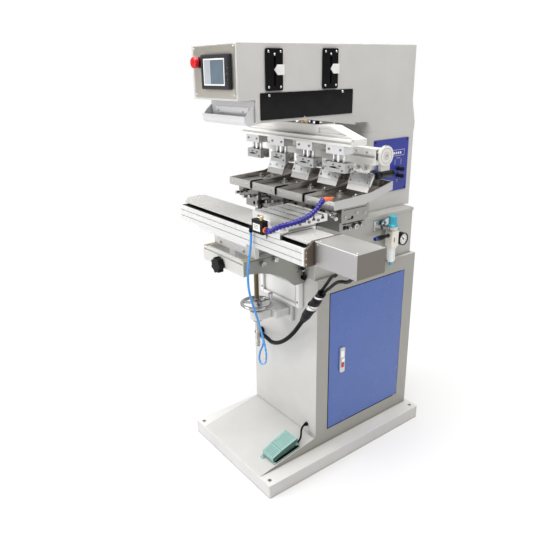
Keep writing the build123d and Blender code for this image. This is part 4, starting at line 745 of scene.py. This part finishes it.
# Blade bar: end slot, rubber ends of the cylinder, rings on the disc
bar_dark = Kit("bar_slots", black_metal, "black_plastic", "blades")
bar_dark.bar(319.9, 320.4, 17, 24, 1243, 1276, 1.0)
bar_dark.turned((316, 107.8, 1187), backward, ((0, 13.4), (-10, 13.4)), 28)
bar_dark.turned((316, 36, 1187), backward, ((0, 12.9), (0, 14), (8, 14), (8, 12.9)), 28)
rounds("disc_ring", grey_plastic, "white_plastic", [
    ((329, 60, 1254), rightward, ((-0.2, outer), (0.5, outer), (0.5, inner), (-0.2, inner)), sides)
    for outer, inner, sides in ((27, 25.6, 48), (14, 13, 36))], "blades")

# Blade bar and holders: bolts, their sockets and the slots of the knobs, rings of the knobs
bar_bright = Kit("bar_screws", bright_screw, "chrome", "blades")
for sx in station_x:
    bar_bright.cap_screws(forward, 4, 2.4, (sx - 10, 8, 1268), (sx + 42, 8, 1268))
bar_bright.cap_screws(rightward, 4, 2.6, (320, 33, 1268))
bar_bright.cap_screws(rightward, 6, 1.6, (331, 60, 1254))
lean = Vector((0, -19, -42)).normalized()
face = Vector((0, -0.911, 0.412))
top_edge = Vector((0, 15, 1194))
slots = Kit("blade_slots", black_metal, "black_plastic", "blades")
slant = Matrix.Rotation(math.radians(35), 4, "Y")
holder_x = [sx + 16 for sx in station_x]
for bx in holder_x:
    for dx, down in ((-42, 11), (42, 11), (-42, 34), (0, 31), (42, 34)):
        at = top_edge + lean * down + face * -0.3 + Vector((bx + dx, 0, 0))
        bar_bright.turned(at, face, ((0, 0), (0, 5), (1.6, 4.8), (2.2, 4.2), (2.2, 0)), 18)
        slots.turned(at + face * 2.0, face, ((0, 0), (0, 1.7), (0.35, 1.7), (0.35, 0)), 6)
    for x in (bx - 18, bx + 18):
        slots.bar(x - 5.4, x + 5.4, -4.6, -3.9, 1210.3, 1211.7, 0.0, slant)
rounds("knob_rings", brass, "brass_mix", [
    ((bx + dx, -2.6, 1211), backward, ((0, 7), (0.4, 7.7), (2.4, 7.7), (2.8, 7)), 24)
    for bx in holder_x for dx in (-18, 18)], "blades")

# Ink trays: rubber strips in the gaps, floor bolts
strips = Kit("tray_strips", rubber, "cord_black")
for gap in (-156, 4, 164):
    run = [(-120, 1130)]
    for a in range(0, 100, 15):
        turn = math.radians(a)
        run.append((-172 - 9 * math.sin(turn), 1122 + 8 * math.cos(turn)))
    run += [(-181, 1100), (-178, 1100), (-172, 1122), (-120, 1126)]
    strips.outline([(gap - 3.4, y, z) for y, z in run], (6.8, 0, 0))
bolts = Kit("tray_bolts", bright_screw, "chrome")
for sx in station_x:
    bolts.dome_screws(forward, 3.6, 2.2, (sx - 52, -177, 1111), (sx + 50, -177, 1111))
    for x in (sx - 38, sx + 42):
        bolts.turned((x, -40, 1121.8), upward, ((0, 5.2), (5, 5.2), (6, 4.4), (6, 0)), 20, 0.06)

# Bed: knurled adjusters, locking nuts, slots and screws at the right end, thin plate below
knurls = Kit("bed_knurls", chrome, "chrome")
nuts = Kit("bed_nuts", steel_dark, "chrome")
for x, z in ((-289, 1059), (-235, 1050), (-195, 1057), (-136, 1063), (-79, 1054), (-37, 1061),
             (23, 1065), (61, 1069), (92, 1056), (130, 1070), (182, 1063), (246, 1060),
             (297, 1079)):
    knurls.turned((x, -149, z), forward, (
        (0, 5), (0, 7), (4, 7), (4.6, 5.6), (6, 5.6), (6.6, 7.4), (14, 7.4), (15, 6.4),
        (15, 0)), 40, 0.05)
    nuts.turned((x, -136.2, z), forward, ((0, 0), (0, 6.4), (4.4, 6.4), (5, 5.6), (5, 0)), 6)
knurls.turned((252, -147, 1077), (0.92, -0.26, -0.16), (
    (0, 0), (0, 6), (24, 6), (25, 8.6), (44, 8.6), (46, 7.4), (46, 5.2), (66, 5.2), (67, 7),
    (74, 7), (75, 6), (75, 0)), 36, 0.05)
for y, z, r in ((-57, 1018, 10), (-28, 1022, 7), (-88, 1016, 7)):
    knurls.turned((300, y, z), rightward, (
        (0, 0), (0, r - 3), (4, r - 3), (4, r), (12, r), (13, r - 1), (13, r * 0.5),
        (10, r * 0.45), (10, 0)), 36, 0.05)
knurls.cap_screws(rightward, 5, 2.6, (315, -118, 1064), (315, -22, 1064), (315, -62, 1070))
knurls.cap_screws(forward, 4.4, 2.6, (-170, -136, 1084), (-12, -136, 1084),
                  (150, -136, 1084), (290, -136, 1052))
bed_dark = Kit("bed_slots", black_metal, "black_plastic")
bed_dark.bar(314.9, 315.3, -106, -84, 1050, 1053.5, 0.2)
bed_dark.turned((314.9, -84, 1056), rightward, ((0, 0), (0, 6), (0.5, 6), (0.5, 0)), 20)
bed_dark.bar(314.9, 315.3, -126, -16, 1086, 1088)
bed_dark.bar(299.9, 300.4, -116, -12, 1030, 1033)
bed_dark.bar(299.9, 301.5, -112, -100, 1012, 1026, 1.0)
bed_dark.turned((-120, -158, 1046), forward, ((0, 0), (0, 11), (10, 11), (12, 9), (12, 0)),
                14, 0.12)
for x0 in (-256, -96, 64, 224):
    bed_dark.bar(x0, x0 + 14, -137.4, -136, 1064, 1073, 0.5)
bars("bed_plate", machined, "aluminium", [(-186, 186, -136.6, -136, 1009, 1018, 0.2)])

# Ramp's seam and the door's gasket
bars("ramp_strip", housing_paint, "housing",
     [(163, 205, -146.5, -142.4, 108.4, 113.4, 0.6)])
bars("door_gasket", rubber, "cord_black", [
    (188, 206.7, -78.8, -75.5, 120.6, 733.4), (188, 206.7, -75.5, 330, 120.6, 123.4),
    (188, 206.7, -75.5, 330, 730.6, 733.4)])

# Air regulator: wing nut and screws, rings, slots and couplings, scale of the bowl
wing = Kit("regulator_wing_nut", bright_screw, "chrome")
wing.turned((191, 212, 955), rightward, ((0, 0), (0, 7), (6, 6.2), (9, 4), (9, 0)), 20)
for way in (-1, 1):
    wing.bar(195, 198, 212 + way * 4 - 6, 212 + way * 4 + 6, 951, 966, 1.2,
             Matrix.Rotation(math.radians(way * 28), 4, "X"))
wing.dome_screws(rightward, 4.5, 2.8, (191, 176, 962), (191, 256, 962))
wing.bar(196, 226, 212, 218, 934, 946, 1.0)
rounds("regulator_ring", cream_plastic, "white_plastic", (
    ((222, 241, 931), upward, (
        (0, 18), (0, 21), (3, 21.5), (12, 19.5), (15, 18), (15, 9.5)), 32, 0.03),
    ((222, 241, 865.5), upward, ((0, 17.2), (0, 19.8), (-8, 19.8), (-9, 17.2)), 32, 0.03)))
slot = Kit("regulator_slot", black_metal, "black_plastic")
slot.bar(241.6, 242.4, 231, 235, 886, 905, 0.6)
slot.turned((222, 179, 911), backward, ((0, 9), (0, 10.6), (5, 10.6), (6, 7.2)), 6)
slot.turned((222, 163, 911), backward, ((0, 9), (0, 10), (8, 10), (8, 9)), 24, 0.05)
bars("regulator_scale", grey_plastic, "grey_plastic", [
    (238.6, 239.3, 238, 244, z, z + 1.2) for z in range(815, 860, 9)])

# Pressure gauge: dial, marks with the needle, rim
gauge_y, gauge_z = 287.5, 889
rounds("gauge_dial", white_plastic, "white_plastic", [
    ((241.9, gauge_y, gauge_z), rightward, ((0, 0), (0, 22.6), (0.7, 22.6), (0.7, 0)), 40)])
needle = Kit("gauge_marks", black_metal, "black_plastic")
for i in range(11):
    a = math.radians(225 - 27 * i)
    y, z = gauge_y + 18 * math.cos(a), gauge_z + 18 * math.sin(a)
    needle.bar(242.5, 242.9, y - 3, y + 3, z - 0.7, z + 0.7, 0, Matrix.Rotation(a, 4, "X"))
needle.turned((242.5, gauge_y, gauge_z), rightward, ((0, 0), (0, 3), (1.2, 3), (1.2, 0)), 16)
needle.outline([(242.6, 285.5, 887.6), (242.6, 289, 890.6), (242.6, 273, 903)], (0.5, 0, 0))
rounds("gauge_rim", cyan_plastic, "cyan_plastic", [
    ((218, gauge_y, gauge_z), rightward, (
        (0, 0), (0, 22), (1, 26), (4.5, 26.4), (5, 25.9)), 40)])

# Collar of the conduit, gland of the pedal's cord, line across the latch
rounds("cord_rings", bright_screw, "chrome", [
    ((-136, -170, 466), rightward, (
        (0, 8.7), (0, 12.4), (5, 12.4), (6, 11), (9, 11), (9, 8.7)), 6)])
rounds("pedal_gland", rubber, "cord_black", [
    ((152, -150, 146), forward, ((0, 7), (3, 6.4), (8, 5), (8, 4.1)), 20)])
bars("latch_lines", black_metal, "black_plastic",
     [(208.2, 208.7, -14.6, 2.6, 416.6, 417.6)], "door")

# Guide and lift bracket: screws, keeper lines, slot in the right arm, brass strips on top
guide = Kit("guide_screws", steel_dark, "chrome")
for x in (-114, 114):
    guide.cap_screws(forward, 4.2, 3.6, *((x, -160, z) for z in (690, 780, 870, 950)))
for side in (-104.6, 104.6):
    guide.bar(side - 0.8, side + 0.8, -165.3, -164.8, 670, 963)
cheek_bolts = ((-346, 898), (-291, 902))
arm = Kit("lift_screws", chrome, "chrome", "lift")
arm.cap_screws(rightward, 4.6, 4.2, (134, -178, 860), (134, -178, 842), (134, -178, 824),
               (134, -205, 905))
arm.turned((134, -166, 836), rightward, (
    (0, 3.4), (10, 3.4), (10, 7.5), (20, 7.5), (21, 6.6), (21, 0)), 30, 0.05)
for y, z in cheek_bolts:
    arm.turned((140.2, y, z), rightward, (
        (0, 8.5), (0, 9.2), (11, 9.2), (12.4, 7.8), (12.4, 5), (10, 4.6), (10, 0)), 32)
for x in (-122, 122):
    arm.cap_screws(forward, 4, 3, (x, -190, 880), (x, -190, 902))
arm_dark = Kit("lift_slots", black_metal, "black_plastic", "lift")
for y, z in cheek_bolts:
    arm_dark.turned((150.4, y, z), rightward, ((0, 0), (0, 4.4), (0.4, 4.4), (0.4, 0)), 6)
arm_dark.bar(134, 134.5, -404, -240, 911.5, 912.6)
bars("lift_channel", brass, "brass_mix", [
    (-131, -114, -421, -362, 917.9, 918.3, 0.1), (114, 131, -421, -362, 917.9, 918.3, 0.1)], "lift")
foot = Kit("bracket_screws", chrome, "chrome", "shuttle")
foot.cap_screws(forward, 4.6, 4.4, (-88, -372, 930), (66, -372, 930))

# Lead screw: nut under the lift bracket, collar over the handwheel
screw_y = -275
rounds("screw_nut", brass, "brass_mix", [
    ((0, screw_y, 890), downward, (
        (0, 9.5), (0, 16), (3, 16), (4, 14), (12, 14), (13, 9.3)), 6)], "lift")
rounds("wheel_hub", steel_dark, "chrome", [
    ((0, screw_y, 692), upward, ((0, 9.4), (0, 17), (3, 17), (4, 15.5), (4, 9.4)), 32)],
    "handwheel")

# Rail and table: cover screws, end screws, fold lines, end strip, table screws
rail_top = 1058
rail = Kit("rail_screws", bright_screw, "chrome", "shuttle")
rail.dome_screws(upward, 4.6, 1.6, *((x, y, rail_top) for x, y in (
    (-322, -322), (-296, -372), (392, -333), (424, -300), (424, -390))))
end = Kit("rail_end_screws", brass, "brass_mix", "shuttle")
end.dome_screws(forward, 2.9, 1.6, (454, -414, 1030), (454, -414, 1012), (454, -414, 994))
bars("rail_lines", frame_paint, "frame_paint", [
    (x, 448, y - 0.6, y + 0.6, rail_top, rail_top + 0.25) for x, y in (
        (-300, -392), (-330, -352), (-330, -318))], "shuttle")
bars("rail_end_strip", white_paint, "white_parts",
     [(442, 449.8, -420.5, -420, 989, 1041, 0.2)], "shuttle")
table = Kit("table_screws", steel_dark, "chrome", "table")
table.cap_screws(rightward, 5, 3, (335, -338, 1081), (335, -299, 1081), (335, -260, 1081))
table.cap_screws(forward, 4, 2.6, (170, -380, 1084), (300, -380, 1084))

# Air valve: label and its block, marks and collar of the tube, needle; screws of the motor box
bars("valve_label", white_plastic, "white_plastic", [
    (224, 262, -442.5, -441.9, 1058, 1082, 0.2),
    (204, 268, -419.6, -404, 1066.5, 1090, 1.0)], "shuttle")
lines = Kit("valve_marks", black_metal, "black_plastic", "shuttle")
for x1, z in ((256, 1076), (250, 1071), (254, 1066)):
    lines.bar(229, x1, -442.8, -442.4, z, z + 1.2)
lines.turned((197, -432, 1047.2), downward, ((0, 6), (0, 6.8), (4, 6.8), (6, 5), (6, 4.2)), 20)
rounds("valve_needle", brass, "brass_mix", [
    ((258, -432, 1094), upward, (
        (0, 4), (0, 7), (4, 7), (4, 4.4), (8, 4.4), (8, 6.4), (14, 6.8), (15, 5.6),
        (15, 0)), 24, 0.06)], "shuttle")
box = Kit("box_screws", bright_screw, "chrome", "shuttle")
box.dome_screws(forward, 2.6, 1.4, *((x, -385, z) for x in (470, 622) for z in (996, 1053)))
box.dome_screws(upward, 2.6, 1.2, *((x, y, 1063) for x in (470, 621) for y in (-373, -281)))

# Pedal: ribs and dots on the tread, line of the gap, bolts
ramp_rise, ramp_run = 49, 288
slope = math.atan(ramp_rise / ramp_run)
along_way = Vector((0, math.cos(slope), math.sin(slope)))
off_way = Vector((0, -math.sin(slope), math.cos(slope)))
pedal_front = Vector((0, -352, 58 + 78 * ramp_rise / ramp_run))


def on_pedal(x, along, off):
    # Point of the pedal, in millimetres: across, up the ramp, off the ramp
    return pedal_front + along_way * along + off_way * off + Vector((x, 0, 0))


def tread_height(along):
    # Height of the tread's top off the ramp
    if along < 48:
        return 27 + (along - 2) * 10 / 46
    return 37 + (along - 48) * 10 / 82


tread = Kit("tread_grip", teal_dark, "teal_plastic", "pedal_tread")
for k in range(6):
    along = 8 + 6.4 * k
    h = tread_height(along)
    tread.outline([on_pedal(131, along - 1, h - 0.3), on_pedal(187, along - 1, h - 0.3),
                   on_pedal(187, along + 1, h + 0.2), on_pedal(131, along + 1, h + 0.2)],
                  off_way * 0.9)
for k in range(11):
    along = 52 + 7 * k
    for j in range(8):
        x = 132.5 + 7.4 * j + (3.7 if k % 2 else 0)
        if x < 187:
            at = on_pedal(x, along, tread_height(along) - 0.3)
            tread.turned(at, off_way, ((0, 2.3), (1.0, 1.9), (1.5, 1.0), (1.5, 0)), 8)
h = tread_height(48)
tread.outline([on_pedal(126, 47, h - 0.2), on_pedal(192, 47, h - 0.2), on_pedal(192, 49, h - 0.1),
               on_pedal(126, 49, h - 0.1)], off_way * 0.7)
gap_line = Kit("pedal_gap", rubber, "cord_black")
gap_line.outline([on_pedal(199.1, 10, 5.2), on_pedal(199.1, 130, 5.2), on_pedal(199.1, 130, 9.5),
                  on_pedal(199.1, 10, 7.4)], (-8, 0, 0))
pedal_bolts = Kit("pedal_bolts", chrome, "chrome")
pedal_bolts.dome_screws(off_way, 4.4, 3.4, on_pedal(131, -6.5, 3))
pedal_bolts.dome_screws(rightward, 2.0, 1.4, on_pedal(199, 8, 2.6))

for kit in kits:
    kit.done()


# Painted shade in the corners, and painted highlight along the edges, of all painted and metal
# surfaces
corner_reach = 0.014
edge_light = 1.55
palest = (0.93, 0.93, 0.93)
for m in bpy.data.materials:
    shader = principled(m) if m.use_nodes else None
    if shader is None or not shader.inputs["Base Color"].links:
        continue
    tree = m.node_tree
    # Painted shade: the colour darkens where ambient occlusion finds nearby surfaces
    corner_shade = wire(tree, "ShaderNodeAmbientOcclusion", {"Distance": corner_reach}, samples=6)
    level = map_range(tree, corner_shade.outputs["AO"], (0.15, 0.85), (0.30, 1.0))
    rounded = next((n for n in tree.nodes if n.type == "BEVEL"), None)
    if rounded is not None:
        # Painted highlight: the colour is lighter where the rounded normal turns away from the flat
        # one
        flat = tree.nodes.new("ShaderNodeNewGeometry")
        across = wire(tree, "ShaderNodeVectorMath", {
            0: rounded.outputs["Normal"], 1: flat.outputs["Normal"]}, operation="DOT_PRODUCT")
        edge = map_range(tree, across.outputs["Value"], (0.99, 0.80), (1.0, edge_light))
        level = calculate(tree, "MULTIPLY", edge, level)
    times = wire(tree, "ShaderNodeVectorMath", {
        0: fed(shader.inputs["Base Color"]), "Scale": level}, operation="SCALE")
    most = wire(tree, "ShaderNodeVectorMath", {0: times.outputs[0], 1: palest},
                operation="MINIMUM")
    tree.links.new(most.outputs[0], shader.inputs["Base Color"])


# Studio: white for the camera, surroundings that darken to one side and are banded in
# reflections, a pale floor that keeps the shadow, and soft lamps
light_from = (-0.60, -0.46, 0.65)
darkest, fill_strength = (0.11, 0.10, 0.09), 0.85
world = bpy.data.worlds.new("studio")
bpy.context.scene.world = world
tree = empty_tree(world)
around = tree.nodes.new("ShaderNodeTexCoord").outputs["Generated"]
toward = wire(tree, "ShaderNodeVectorMath", {0: around, 1: light_from}, operation="DOT_PRODUCT")
half = calculate(tree, "MULTIPLY_ADD", toward.outputs["Value"], 0.5, 0.5)
spread = colour_between(tree, half, darkest, (1.0, 1.0, 1.0), 0.1, 0.95)
height = wire(tree, "ShaderNodeSeparateXYZ", {"Vector": around})
up = calculate(tree, "MULTIPLY_ADD", height.outputs["Z"], 0.5, 0.5)
bands = wire(tree, "ShaderNodeValToRGB", {"Fac": up})
for k, (place, value) in enumerate(((0.30, 0.75), (0.45, 0.12), (0.55, 0.10), (0.68, 1.25),
                                    (0.86, 1.25), (1.0, 0.8))):
    stops = bands.color_ramp.elements
    stop = stops[k] if k < 2 else stops.new(place)
    stop.position = place
    stop.color = (value, value, value, 1)
path = tree.nodes.new("ShaderNodeLightPath")
banded = wire(tree, "ShaderNodeMix", {
    0: path.outputs["Is Glossy Ray"], 6: spread, 7: bands.outputs["Color"]},
    data_type="RGBA", blend_type="MULTIPLY")
fill = wire(tree, "ShaderNodeBackground", {"Color": banded.outputs[2], "Strength": fill_strength})
seen = wire(tree, "ShaderNodeBackground", {"Color": (1, 1, 1, 1), "Strength": 1.0})
mix = wire(tree, "ShaderNodeMixShader", {
    0: path.outputs["Is Camera Ray"], 1: fill.outputs[0], 2: seen.outputs[0]})
wire(tree, "ShaderNodeOutputWorld", {"Surface": mix.outputs[0]})

floor_size = 60.0
glow_start, glow_end = 0.5, 2.2
floor_mesh = bpy.data.meshes.new("floor")
bm = bmesh.new()
bmesh.ops.create_grid(bm, x_segments=1, y_segments=1, size=floor_size / 2)
bm.to_mesh(floor_mesh)
bm.free()
floor = new_object("floor", floor_mesh)
floor_material = bpy.data.materials.new("floor_pale")
tree = empty_tree(floor_material)
far = wire(tree, "ShaderNodeVectorMath", {0: object_place(tree)}, operation="LENGTH")
fade = map_range(tree, far.outputs["Value"], (glow_start, glow_end), (0.25, 1.0),
                 interpolation_type="SMOOTHSTEP")
path = tree.nodes.new("ShaderNodeLightPath")
direct = calculate(tree, "MAXIMUM", path.outputs["Is Camera Ray"], path.outputs["Is Glossy Ray"])
direct = calculate(tree, "MAXIMUM", direct, path.outputs["Is Transmission Ray"])
matt = wire(tree, "ShaderNodeBsdfDiffuse", {"Color": (0.84, 0.84, 0.84, 1)})
glow = wire(tree, "ShaderNodeEmission", {"Color": (1, 1, 1, 1), "Strength": 1.0})
mix = wire(tree, "ShaderNodeMixShader", {
    0: calculate(tree, "MULTIPLY", fade, direct), 1: matt.outputs[0], 2: glow.outputs[0]})
wire(tree, "ShaderNodeOutputMaterial", {"Surface": mix.outputs[0]})
floor_mesh.materials.append(floor_material)


def area_lamp(name, place, aim, size, power, colour=(1, 1, 1)):
    # Soft square lamp that looks at a point
    data = bpy.data.lights.new(name, "AREA")
    data.shape = "SQUARE"
    data.size = size
    data.energy = power
    data.color = colour
    o = new_object(name, data)
    o.location = place
    o.rotation_euler = (Vector(aim) - Vector(place)).to_track_quat("-Z", "Y").to_euler()


area_lamp("key", (-1.6, -3.4, 3.2), (0, 0, 0.8), 2.4, 58)
area_lamp("front", (-0.7, -3.8, 0.8), (0, 0, 0.9), 1.6, 19)
area_lamp("side", (2.6, 0.5, 3.2), (0, 0, 1.5), 1.6, 22, (1.0, 0.96, 0.90))
area_lamp("top", (0.2, -0.4, 4.2), (0, 0, 0.8), 3.0, 150)

view = bpy.context.scene.view_settings
view.view_transform = "Standard"
